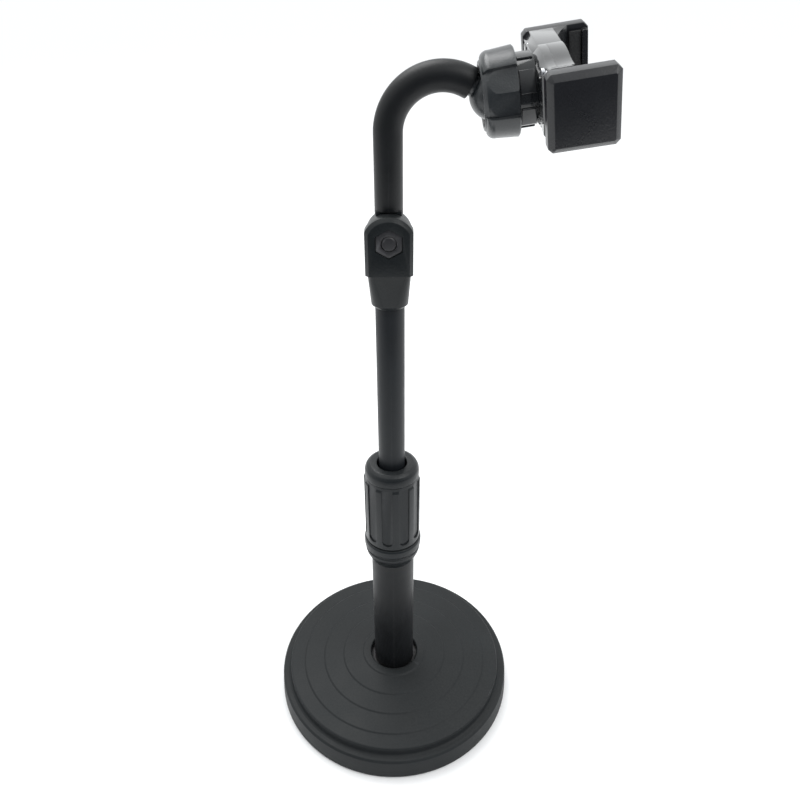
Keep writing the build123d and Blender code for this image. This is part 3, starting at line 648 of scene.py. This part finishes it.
def block(across: float, deep: float, tall: float) -> bpy.types.Object:
    """Makes a block about the origin.

    Args:
        across: Its size along X, in metres.
        deep: Its size along Y, in metres.
        tall: Its size along Z, in metres.

    Returns:
        The new object.
    """
    deselect_all()
    bpy.ops.mesh.primitive_cube_add(size=1.0, location=(0, 0, 0))
    made = bpy.context.object
    made.scale = (across, deep, tall)
    bpy.ops.object.transform_apply(location=True, rotation=True, scale=True)
    return made


def bevel_where(
    piece: bpy.types.Object, width: float, segments: int, wanted: Callable[[Vector], bool]
) -> None:
    """Bevels the edges whose two ends both pass a test.

    Args:
        piece: The active mesh object, in object mode.
        width: The bevel's width, in metres.
        segments: Faces across the bevel.
        wanted: Says whether a corner belongs to the edges that are meant.
    """
    bpy.ops.object.mode_set(mode="EDIT")
    bpy.ops.mesh.select_mode(type="EDGE")
    bpy.ops.mesh.select_all(action="DESELECT")
    bpy.ops.object.mode_set(mode="OBJECT")
    corners = piece.data.vertices
    for edge in piece.data.edges:
        edge.select = all(wanted(corners[index].co) for index in edge.vertices)
    bpy.ops.object.mode_set(mode="EDIT")
    bpy.ops.mesh.bevel(offset=width, segments=segments)
    bpy.ops.object.mode_set(mode="OBJECT")


def joined(name: str, parts: list[bpy.types.Object]) -> bpy.types.Object:
    """Joins several objects into one piece.

    Args:
        name: The piece's name.
        parts: The objects, of which the first keeps its data.

    Returns:
        The joined object.
    """
    pick(parts[0])
    for part in parts[1:]:
        part.select_set(True)
    bpy.ops.object.join()
    parts[0].name = name
    return parts[0]


def hand_over(piece: bpy.types.Object, node: str, finish: Finish) -> None:
    """Rides a finished piece on its node's body, in the node's stead, and dresses it.

    Args:
        piece: The finished mesh.
        node: The CAD node that it stands for.
        finish: Its finish.
    """
    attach(piece, BODY_OF[node])
    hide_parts(node)
    RACK.dress(piece, finish)
    LOG.info("%s: %d faces for %s", piece.name, len(piece.data.polygons), node)


def refine_over(node: str, style: EdgeStyle, finish: Finish, limit: float = 24.0) -> None:
    """Refines a CAD node and hands the copy over in its stead.

    Args:
        node: The CAD node's name.
        style: How strongly its edges are rounded.
        finish: Its finish.
        limit: Edges turning by more than this many degrees are rounded.
    """
    hand_over(refined(node, style, limit), node, finish)


def keep_node(node: str, finish: Finish) -> None:
    """Keeps a CAD node as the piece that is seen, and dresses it.

    Args:
        node: The CAD node's name.
        finish: Its finish.
    """
    RACK.dress(frame["nodes"][node], finish)
    LOG.info("%s: kept as packed", node)


# ------------------------------------------------------------------------------------ base
@dataclass
class Base:
    """The weighted round base.

    Attributes:
        cover_r: The cover's outer radius, in millimetres.
        plateau_r: Radius of the raised top, in millimetres.
        plateau_z: Height of the raised top's edge, in millimetres.
        crown_z: Height of the crown round the tube, in millimetres.
        recess_r: Radius of the recess round the tube, in millimetres.
        terraces: Radii of the low steps in the top, in millimetres.
        step_rise: Height of each step, in millimetres.
        pad_r: The foot pad's radius, in millimetres.
        pad_t: The foot pad's thickness, in millimetres.
        pad_chamfer: The chamfer round its lower edge, in millimetres.
    """

    cover_r: float = 62.5
    plateau_r: float = 56.6
    plateau_z: float = 16.7
    crown_z: float = 21.0
    recess_r: float = 12.4
    terraces: tuple[float, ...] = (49.5, 38.7, 28.0, 17.1)
    step_rise: float = 0.55
    pad_r: float = 58.0
    pad_t: float = 2.2
    pad_chamfer: float = 0.5

    def build(self) -> None:
        """Builds and dresses the base's pieces."""
        self.cover()
        keep_node("base_weight", CAST_IRON)
        self.foot_pad()
        for node in ("shell_screws", "base_washer", "base_bolt", "tube_plug"):
            keep_node(node, ZINC_STEEL)

    def top_rings(self) -> list[tuple[float, float]]:
        """Returns the rings of the terraced crown, from its edge inwards."""
        run = self.plateau_r - self.recess_r
        slope = (self.crown_z - self.plateau_z - len(self.terraces) * self.step_rise) / run
        rings = [(self.plateau_r + 0.55, self.plateau_z - 0.25), (self.plateau_r, self.plateau_z)]
        for count, radius in enumerate(self.terraces):
            foot_z = self.plateau_z + slope * (self.plateau_r - radius) + count * self.step_rise
            rings.append((radius + 0.35, foot_z))
            rings.append((radius - 0.35, foot_z + self.step_rise))
        rings.append((self.recess_r + 0.6, self.crown_z))
        return rings

    def cover(self) -> None:
        """Turns the moulded cover: skirt, ledge, groove, terraced crown and hollow underside."""
        r, z = self.cover_r, self.plateau_z
        rings = [
            (r - 2.3, 0.8), (r, 0.8), (r, 2.2), (r - 0.6, 11.3), (r - 1.5, 12.3), (r - 3.6, 12.3),
            (self.plateau_r + 1.4, 12.8), (self.plateau_r + 1.0, 13.8),
            (self.plateau_r + 0.8, z - 0.8),
            *self.top_rings(),
            (self.recess_r, self.crown_z - 0.6), (self.recess_r, self.crown_z - 2.8),
            (self.plateau_r - 2.0, 14.0), (self.plateau_r - 1.7, 10.0), (r - 2.6, 10.0),
        ]
        piece = turned("base_cover", rings, steps=192)
        round_edges(piece, 0.22 * MM, limit=14.0)
        hand_over(piece, "base_shell", COVER_PLASTIC)

    def foot_pad(self) -> None:
        """Turns the foam pad under the weight."""
        r, cut = self.pad_r, self.pad_chamfer
        rings = [(r - cut, 0.0), (r, cut), (r, self.pad_t)]
        piece = turned("foot_pad_ring", rings, steps=144, bore=False)
        round_edges(piece, 0.15 * MM)
        hand_over(piece, "base_pad", FOOT_FOAM)


# ------------------------------------------------------------------------------------ twist lock
@dataclass
class TwistLock:
    """The outer tube and the lock that grips the mast.

    Attributes:
        tube_r: The outer tube's radius, in millimetres.
        tube_foot_z: Where the tube starts, in millimetres.
        tube_top_z: Where the tube ends, in millimetres.
        wall: The tube's wall, in millimetres.
        grip_top_z: Top of the collar, in millimetres.
        cap_top_z: Top of the cap, in millimetres.
    """

    tube_r: float = 10.5
    tube_foot_z: float = 10.0
    tube_top_z: float = 126.0
    wall: float = 1.0
    grip_top_z: float = 147.4
    cap_top_z: float = 153.6

    def build(self) -> None:
        """Builds and dresses the lock's pieces."""
        self.tube()
        self.ferrule()
        refine_over("lock_collar", EdgeStyle.MOULDED, GRIP_PLASTIC)
        self.cap()
        refine_over("lock_collet", EdgeStyle.CRISP, NYLON)

    def tube(self) -> None:
        """Turns the outer tube with its bore."""
        low, high = self.tube_foot_z, self.tube_top_z
        r, bore = self.tube_r, self.tube_r - self.wall
        piece = turned("lower_tube", [(r, low), (r, high), (bore, high), (bore, low)])
        round_edges(piece, 0.2 * MM)
        hand_over(piece, "outer_tube", TUBE_PAINT)

    def ferrule(self) -> None:
        """Turns the lock's fixed lower half, with its groove and bead."""
        bore = self.tube_r + 0.05
        rings = [
            (bore, 95.6), (10.9, 95.6), (11.9, 97.6), (12.9, 100.0), (13.3, 101.6), (13.3, 102.6),
            (12.9, 102.9), (12.9, 103.6), (13.45, 103.9), (13.8, 104.8), (13.8, 107.9),
            (13.3, 108.9), (11.6, 108.9), (11.6, self.tube_top_z), (bore, self.tube_top_z),
        ]
        piece = turned("lock_ferrule_turned", rings)
        round_edges(piece, 0.18 * MM, limit=20.0)
        hand_over(piece, "lock_ferrule", GRIP_PLASTIC)

    def cap(self) -> None:
        """Turns the cap that closes the collar round the mast."""
        low, high = self.grip_top_z, self.cap_top_z
        rings = [
            (6.8, low - 2.6), (10.5, low - 2.6), (10.5, low + 0.1), (12.5, low + 0.1),
            (12.7, low + 0.4), (12.65, high - 3.6), (12.4, high - 2.4), (11.6, high - 1.0),
            (10.1, high), (7.2, high), (6.8, high - 0.4),
        ]
        piece = turned("collar_cap_turned", rings)
        round_edges(piece, 0.18 * MM, limit=16.0)
        hand_over(piece, "collar_cap", GRIP_PLASTIC)


# ------------------------------------------------------------------------------------ mast
@dataclass
class Mast:
    """The inner tube with its foot and its head.

    Attributes:
        tube_r: The mast's radius, in millimetres.
        foot_z: Where it starts, in millimetres.
        top_z: Where it ends, in millimetres.
        wall: Its wall, in millimetres.
    """

    tube_r: float = 6.0
    foot_z: float = 88.0
    top_z: float = 248.0
    wall: float = 1.0

    def build(self) -> None:
        """Builds and dresses the mast's pieces."""
        r, low, high = self.tube_r, self.foot_z, self.top_z
        bore = r - self.wall
        piece = turned("mast_tube", [(r, low), (r, high), (bore, high), (bore, low)])
        round_edges(piece, 0.2 * MM)
        hand_over(piece, "inner_tube", MAST_PAINT)
        keep_node("slide_bush", NYLON)
        keep_node("mast_stop", NYLON)
        refine_over("mast_head", EdgeStyle.MOULDED, HEAD_PLASTIC)


@dataclass
class LapHinge:
    """The bolted lap hinge between the mast's head and the arm."""

    def build(self) -> None:
        """Builds and dresses the hinge's pieces."""
        refine_over("hinge_nut", EdgeStyle.MOULDED, BLACK_STEEL)
        refine_over("hinge_bolt", EdgeStyle.CRISP, BLACK_STEEL)
        refine_over("hinge_washer", EdgeStyle.CRISP, BLACK_STEEL)
        keep_node("friction_washer", FIBRE)


# ------------------------------------------------------------------------------------ arm
@dataclass
class Arm:
    """The bent arm with its knuckle and its ball.

    Attributes:
        tube_r: The tube's radius, in millimetres.
        wall: The tube's wall, in millimetres.
        foot_z: Where the tube starts, in millimetres.
        bend_z: Where the bend starts, in millimetres.
        bend_r: The bend's radius, in millimetres.
        turn: How far the tube bends, in degrees.
        run_out: The straight end after the bend, in millimetres.
        ball_r: The ball's radius, in millimetres.
        neck_r: The ball's neck, in millimetres.
        reach: From the bend's end to the ball's centre, in millimetres.
        ear_back_y: The plane just behind the mast head's ear, in millimetres.
    """

    tube_r: float = 5.35
    wall: float = 1.0
    foot_z: float = 273.9
    bend_z: float = 301.3
    bend_r: float = 19.0
    turn: float = 115.0
    run_out: float = 1.9
    ball_r: float = 8.5
    neck_r: float = 4.0
    reach: float = 10.6
    ear_back_y: float = -3.78

    def direction(self) -> Vector:
        """Returns the way the tube points at its end."""
        angle = math.radians(self.turn)
        return Vector((math.sin(angle), 0.0, math.cos(angle)))

    def build(self) -> None:
        """Builds and dresses the arm's pieces."""
        self.tube()
        self.ball()
        refine_over("arm_knuckle", EdgeStyle.MOULDED, HEAD_PLASTIC)
        self.shoulder()

    def shoulder(self) -> None:
        """Turns the knuckle's shoulder under the tube, cut flat where it passes behind the ear."""
        top, low, r = self.foot_z + 0.1, self.foot_z - 6.4, self.tube_r
        rings = [(r - 0.5, low), (r, low + 0.5), (r, top)]
        piece = turned("arm_shoulder", rings, steps=72, bore=False)
        pick(piece)
        bpy.ops.object.mode_set(mode="EDIT")
        bpy.ops.mesh.select_all(action="SELECT")
        cut = (0.0, self.ear_back_y * MM, 0.0)
        bpy.ops.mesh.bisect(plane_co=cut, plane_no=(0, 1, 0), use_fill=True, clear_inner=True)
        bpy.ops.object.mode_set(mode="OBJECT")
        round_edges(piece, 0.15 * MM)
        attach(piece, BODY_OF["arm_knuckle"])
        RACK.dress(piece, TUBE_PAINT)

    def tube(self) -> None:
        """Spins the tube's skin round the bend and gives it its wall."""
        deselect_all()
        foot = (0, 0, self.foot_z * MM)
        bpy.ops.mesh.primitive_circle_add(vertices=72, radius=self.tube_r * MM, location=foot)
        piece = bpy.context.object
        piece.name = "arm_tube_bent"
        bpy.ops.object.transform_apply(location=True, rotation=True, scale=True)
        bpy.ops.object.mode_set(mode="EDIT")
        bpy.ops.mesh.select_mode(type="EDGE")
        bpy.ops.mesh.select_all(action="SELECT")
        rise = (self.bend_z - self.foot_z) * MM
        bpy.ops.mesh.extrude_region_move(TRANSFORM_OT_translate={"value": (0, 0, rise)})
        centre = (self.bend_r * MM, 0, self.bend_z * MM)
        sweep = math.radians(self.turn)
        bpy.ops.mesh.spin(steps=56, angle=sweep, center=centre, axis=(0, -1, 0))
        end = self.direction() * self.run_out * MM
        bpy.ops.mesh.extrude_region_move(TRANSFORM_OT_translate={"value": tuple(end)})
        bpy.ops.mesh.select_all(action="SELECT")
        bpy.ops.mesh.remove_doubles(threshold=0.001 * MM)
        bpy.ops.mesh.normals_make_consistent(inside=False)
        bpy.ops.object.mode_set(mode="OBJECT")
        wall = piece.modifiers.new("wall", "SOLIDIFY")
        wall.thickness = self.wall * MM
        wall.offset = -1.0
        bpy.ops.object.modifier_apply(modifier=wall.name)
        round_edges(piece, 0.18 * MM)
        hand_over(piece, "arm_tube", TUBE_PAINT)

    def ball(self) -> None:
        """Turns the ball with its neck and its plug, and points it back along the tube."""
        rings = []
        last = math.degrees(math.acos(math.sqrt(1 - (self.neck_r / self.ball_r) ** 2)))
        bands = 28
        for count in range(1, bands + 1):
            angle = math.radians(180.0 - (180.0 - last) * count / bands)
            rings.append((self.ball_r * math.sin(angle), self.ball_r * math.cos(angle)))
        tube_end = self.reach - self.run_out
        plug_r = self.tube_r - self.wall - 0.02
        rings += [(self.neck_r, tube_end), (plug_r, tube_end)]
        rings += [(plug_r, self.reach), (plug_r - 0.8, tube_end + 6.0)]
        piece = turned("arm_ball_turned", rings, steps=72, bore=False)
        round_edges(piece, 0.1 * MM, limit=25.0)
        settle(piece, place_along(BALL, -self.direction(), Vector((0, 1, 0))))
        hand_over(piece, "arm_ball", NUT_PLASTIC)


# ------------------------------------------------------------------------------------ ball joint
@dataclass
class BallJoint:
    """The cup, the slotted socket and the lobed lock nut.

    Attributes:
        neck_r: The socket's neck, in millimetres.
        rib_turns: Where the neck's ribs stand, in degrees from the jaws' way.
        rib_size: A rib's depth, width and length, in millimetres.
        rib_sink: How far a rib's middle lies under the neck's skin, in millimetres.
        rib_round: The rounding of a rib's edges, in millimetres.
        rib_t: The ribs' distance along the clamp's axis, in millimetres.
    """

    neck_r: float = 11.7
    rib_turns: tuple[float, ...] = (-30.0, 30.0, 90.0, 150.0, 210.0, 270.0)
    rib_size: tuple[float, float, float] = (0.9, 7.6, 5.4)
    rib_sink: float = 0.35
    rib_round: float = 0.35
    rib_t: float = 10.55

    def build(self) -> None:
        """Builds and dresses the joint's pieces."""
        keep_node("ball_seat", NYLON)
        keep_node("seat_washer", NYLON)
        refine_over("ball_socket", EdgeStyle.CRISP, SOCKET_PLASTIC)
        refine_over("ball_nut", EdgeStyle.SOFT, NUT_PLASTIC, limit=16.0)
        self.neck_ribs()

    def neck_ribs(self) -> None:
        """Adds the broad ribs of the socket's neck, which the light catches."""
        ribs = []
        for turn in self.rib_turns:
            rib = block(*(size * MM for size in self.rib_size))
            angle = math.radians(turn)
            centre = Vector((math.cos(angle), math.sin(angle), 0.0))
            centre = centre * (self.neck_r - self.rib_sink) * MM
            centre.z = self.rib_t * MM
            rib.matrix_world = Matrix.Translation(centre) @ Matrix.Rotation(angle, 4, "Z")
            bpy.ops.object.transform_apply(location=True, rotation=True, scale=True)
            ribs.append(rib)
        piece = joined("socket_ribs", ribs)
        round_edges(piece, self.rib_round * MM)
        settle(piece, HEAD_PLACE)
        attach(piece, "clamp")
        RACK.dress(piece, SOCKET_PLASTIC)


# ------------------------------------------------------------------------------------ clamp
@dataclass
class PhoneClamp:
    """The two-part body, the fixed and the sliding jaw, their pads and springs.

    Attributes:
        spring_r: Outer radius of a spring's coils, in millimetres.
        wire_r: Radius of the spring's wire, in millimetres.
        spring_turns: Turns of each spring.
        wire_sides: Sides of the wire's round section.
        turn_steps: Steps in each turn.
        spring_from: Where the springs start along the jaws' way, in millimetres.
        spring_to: Where they end, in millimetres.
        spring_offset: Each spring's distance from the middle, in millimetres.
        split: The springs' distance along the clamp's axis, in millimetres.
        half_h: Half the jaws' height, in millimetres.
        shoulder_from: Where the body's shoulders start along the jaws' way, in millimetres.
        shoulder_to: Where they end at the fixed jaw, in millimetres.
        shoulder_h: Their height, in millimetres.
        shoulder_t: Their reach along the clamp's axis, in millimetres.
        back_bevel: The bevel along their back, in millimetres.
        front_round: The rounding where they start, in millimetres.
    """

    spring_r: float = 1.6
    wire_r: float = 0.25
    spring_turns: int = 17
    wire_sides: int = 10
    turn_steps: int = 20
    spring_from: float = 6.0
    spring_to: float = 21.3
    spring_offset: float = 4.6
    split: float = 19.0
    half_h: float = 12.4
    shoulder_from: float = 0.5
    shoulder_to: float = 22.9
    shoulder_h: float = 2.6
    shoulder_t: tuple[float, float] = (13.9, 24.4)
    back_bevel: float = 2.2
    front_round: float = 2.2

    def build(self) -> None:
        """Builds and dresses the clamp's pieces."""
        for half in ("clamp_back", "clamp_front"):
            refine_over(half, EdgeStyle.SOFT, GLOSS_PLASTIC)
        for jaw in ("fixed_jaw", "slide_jaw"):
            refine_over(jaw, EdgeStyle.SOFT, JAW_PLASTIC)
        self.shoulders()
        for pad in ("fixed_pad", "slide_pad", "rest_pad"):
            refine_over(pad, EdgeStyle.MOULDED, PAD_RUBBER)
        refine_over("clamp_screws", EdgeStyle.CRISP, ZINC_STEEL)
        self.springs()

    def shoulders(self) -> None:
        """Fills the body's sides up to the fixed jaw's height, bevelled behind like the body."""
        parts = []
        low, high = self.shoulder_from, self.shoulder_to
        for sign in (1.0, -1.0):
            back, front = self.shoulder_t
            part = block((high - low) * MM, self.shoulder_h * MM, (front - back) * MM)
            bevel_where(
                part, self.back_bevel * MM, 1, lambda co: co.z < 0 and co.y * sign > 0
            )
            bevel_where(
                part, self.front_round * MM, 6, lambda co: co.x < 0 and co.y * sign > 0
            )
            middle_t = (back + front) / 2
            middle_h = sign * (self.half_h - self.shoulder_h / 2)
            middle = Vector(((low + high) / 2, middle_h, middle_t))
            part.matrix_world = Matrix.Translation(middle * MM)
            bpy.ops.object.transform_apply(location=True, rotation=True, scale=True)
            parts.append(part)
        piece = joined("clamp_shoulders", parts)
        round_edges(piece, 0.5 * MM)
        settle(piece, HEAD_PLACE)
        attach(piece, "clamp")
        RACK.dress(piece, GLOSS_PLASTIC)

    def springs(self) -> None:
        """Winds the two springs as real coils between the fixed jaw and the sliding tongue."""
        coils = []
        for offset in (self.spring_offset, -self.spring_offset):
            coils.append(self.coil(offset))
        piece = joined("jaw_springs_wound", coils)
        pick(piece)
        bpy.ops.object.shade_smooth()
        hand_over(piece, "jaw_springs", ZINC_STEEL)

    def coil(self, offset: float) -> bpy.types.Object:
        """Winds one coil spring.

        Args:
            offset: Its distance from the clamp's middle, in millimetres.

        Returns:
            The coil as a mesh, in place.
        """
        deselect_all()
        mean_r = (self.spring_r - self.wire_r) * MM
        bpy.ops.mesh.primitive_circle_add(
            vertices=self.wire_sides, radius=self.wire_r * MM, location=(mean_r, 0, 0)
        )
        coil = bpy.context.object
        coil.rotation_euler = (math.radians(90.0), 0, 0)
        bpy.ops.object.transform_apply(location=True, rotation=True, scale=True)
        length = (self.spring_to - self.spring_from - 2 * self.wire_r) * MM
        screw = coil.modifiers.new("winding", "SCREW")
        screw.angle = math.radians(360.0)
        screw.screw_offset = length / self.spring_turns
        screw.iterations = self.spring_turns
        screw.steps = self.turn_steps
        screw.render_steps = self.turn_steps
        screw.use_normal_calculate = True
        bpy.ops.object.modifier_apply(modifier=screw.name)
        bpy.ops.object.mode_set(mode="EDIT")
        bpy.ops.mesh.select_all(action="DESELECT")
        bpy.ops.mesh.select_non_manifold()
        bpy.ops.mesh.edge_face_add()
        bpy.ops.mesh.select_all(action="SELECT")
        bpy.ops.mesh.normals_make_consistent(inside=False)
        bpy.ops.object.mode_set(mode="OBJECT")
        along = SIDE * (self.spring_from + self.wire_r)
        start = BALL + (OUT * self.split + UP * offset + along) * MM
        settle(coil, place_along(start, SIDE, OUT))
        return coil


# ------------------------------------------------------------------------------------ studio
@dataclass
class Studio:
    """The pale floor, the soft lights and the camera.

    Attributes:
        eye: The camera's place, in metres.
        lens: Focal length, in millimetres.
        sensor_width: The sensor's width, in millimetres.
        pitch_down: How far the camera looks below the horizon, in degrees.
        roll: Turn about the line of sight, in degrees.
        floor_size: The floor's side, in metres.
        floor_front_y: Where the floor starts, in metres.
        floor_tone: The floor's linear grey.
        surround_strength: Strength of the surround.
        surround_rise: How much height counts against depth in the surround's gradient.
        surround_span: Where the gradient starts and ends.
        surround_dim: Linear colour of its dim side.
        surround_bright: Linear colour of its bright side.
        key_place: Where the key light hangs, in metres.
        key_watts: The key light's power.
        fill_place: Where the fill light hangs, in metres.
        fill_watts: The fill light's power.
        lamp_size: The side of either light, in metres.
        aim: The point that both lights look at, in metres.
    """

    eye: tuple[float, float, float] = (0.0039, -0.2764, 0.3716)
    lens: float = 34.2
    sensor_width: float = 36.0
    pitch_down: float = 33.63
    roll: float = -0.24
    floor_size: float = 14.0
    floor_front_y: float = -0.45
    floor_tone: float = 0.955
    surround_strength: float = 1.15
    surround_rise: float = 0.9
    surround_span: tuple[float, float] = (-0.75, 0.15)
    surround_dim: tuple[float, float, float] = (0.16, 0.17, 0.185)
    surround_bright: tuple[float, float, float] = (0.97, 0.99, 1.0)
    key_place: tuple[float, float, float] = (-0.25, 0.35, 1.0)
    key_watts: float = 5.0
    fill_place: tuple[float, float, float] = (0.6, -0.35, 0.9)
    fill_watts: float = 3.0
    lamp_size: float = 0.6
    aim: tuple[float, float, float] = (0.02, 0.0, 0.17)

    def build(self) -> None:
        """Builds floor, world, lights and camera."""
        self.floor()
        self.world()
        self.lamp("key_light", self.key_place, self.key_watts)
        self.lamp("fill_light", self.fill_place, self.fill_watts)
        self.camera()
        bpy.context.scene.view_settings.view_transform = "Standard"

    def floor(self) -> None:
        """Lays a wide pale floor that ends just before the camera."""
        deselect_all()
        half = self.floor_size / 2
        middle = (0, half + self.floor_front_y, 0)
        bpy.ops.mesh.primitive_plane_add(size=self.floor_size, location=middle)
        floor = bpy.context.object
        floor.name = "studio_floor"
        material = bpy.data.materials.new("studio_paper")
        material.use_nodes = True
        shader = material.node_tree.nodes["Principled BSDF"]
        set_inputs(shader, {
            "Base Color": (*[self.floor_tone] * 3, 1.0),
            "Roughness": 0.8,
            "Specular IOR Level": 0.1,
        })
        floor.data.materials.append(material)

    def world(self) -> None:
        """Sets a surround that is white above and behind, and dim on the viewer's side."""
        world = bpy.data.worlds.new("studio_surround")
        bpy.context.scene.world = world
        world.use_nodes = True
        tree = world.node_tree
        background = tree.nodes["Background"]
        background.inputs["Strength"].default_value = self.surround_strength
        place = tree.nodes.new("ShaderNodeTexCoord")
        split = tree.nodes.new("ShaderNodeSeparateXYZ")
        tree.links.new(place.outputs["Generated"], split.inputs["Vector"])
        height = tree.nodes.new("ShaderNodeMath")
        height.operation = "MULTIPLY_ADD"
        height.inputs[1].default_value = self.surround_rise
        tree.links.new(split.outputs["Z"], height.inputs[0])
        tree.links.new(split.outputs["Y"], height.inputs[2])
        ramp = tree.nodes.new("ShaderNodeMapRange")
        ramp.interpolation_type = "SMOOTHSTEP"
        set_inputs(ramp, {"From Min": self.surround_span[0], "From Max": self.surround_span[1]})
        tree.links.new(height.outputs[0], ramp.inputs["Value"])
        tint = tree.nodes.new("ShaderNodeMix")
        tint.data_type = "RGBA"
        tint.inputs[MIX_LOW].default_value = (*self.surround_dim, 1.0)
        tint.inputs[MIX_HIGH].default_value = (*self.surround_bright, 1.0)
        tree.links.new(ramp.outputs["Result"], tint.inputs[0])
        tree.links.new(tint.outputs[MIX_RESULT], background.inputs["Color"])

    def lamp(self, name: str, place: tuple[float, float, float], power: float) -> None:
        """Adds a square soft light aimed at the middle of the stand.

        Args:
            name: The light's name.
            place: Where it hangs, in metres.
            power: Its power, in watts.
        """
        deselect_all()
        bpy.ops.object.light_add(type="AREA", location=place)
        lamp = bpy.context.object
        lamp.name = name
        lamp.data.size = self.lamp_size
        lamp.data.energy = power
        aim = Vector(self.aim) - Vector(place)
        lamp.rotation_euler = aim.to_track_quat("-Z", "Y").to_euler()

    def camera(self) -> None:
        """Places the camera."""
        data = bpy.data.cameras.new("view_camera")
        camera = bpy.data.objects.new("view_camera", data)
        bpy.context.scene.collection.objects.link(camera)
        data.lens = self.lens
        data.sensor_width = self.sensor_width
        data.clip_start = 0.01
        turn = Matrix.Rotation(math.radians(90.0 - self.pitch_down), 4, "X")
        roll = Matrix.Rotation(math.radians(self.roll), 4, "Z")
        camera.matrix_world = Matrix.Translation(self.eye) @ turn @ roll
        bpy.context.scene.camera = camera


def main() -> None:
    """Builds the stand's sub-assemblies in order, then the studio."""
    Base().build()
    TwistLock().build()
    Mast().build()
    LapHinge().build()
    Arm().build()
    BallJoint().build()
    PhoneClamp().build()
    Studio().build()


if __name__ == "__main__":
    logging.basicConfig(level=logging.INFO, format="%(name)s %(message)s")
    main()
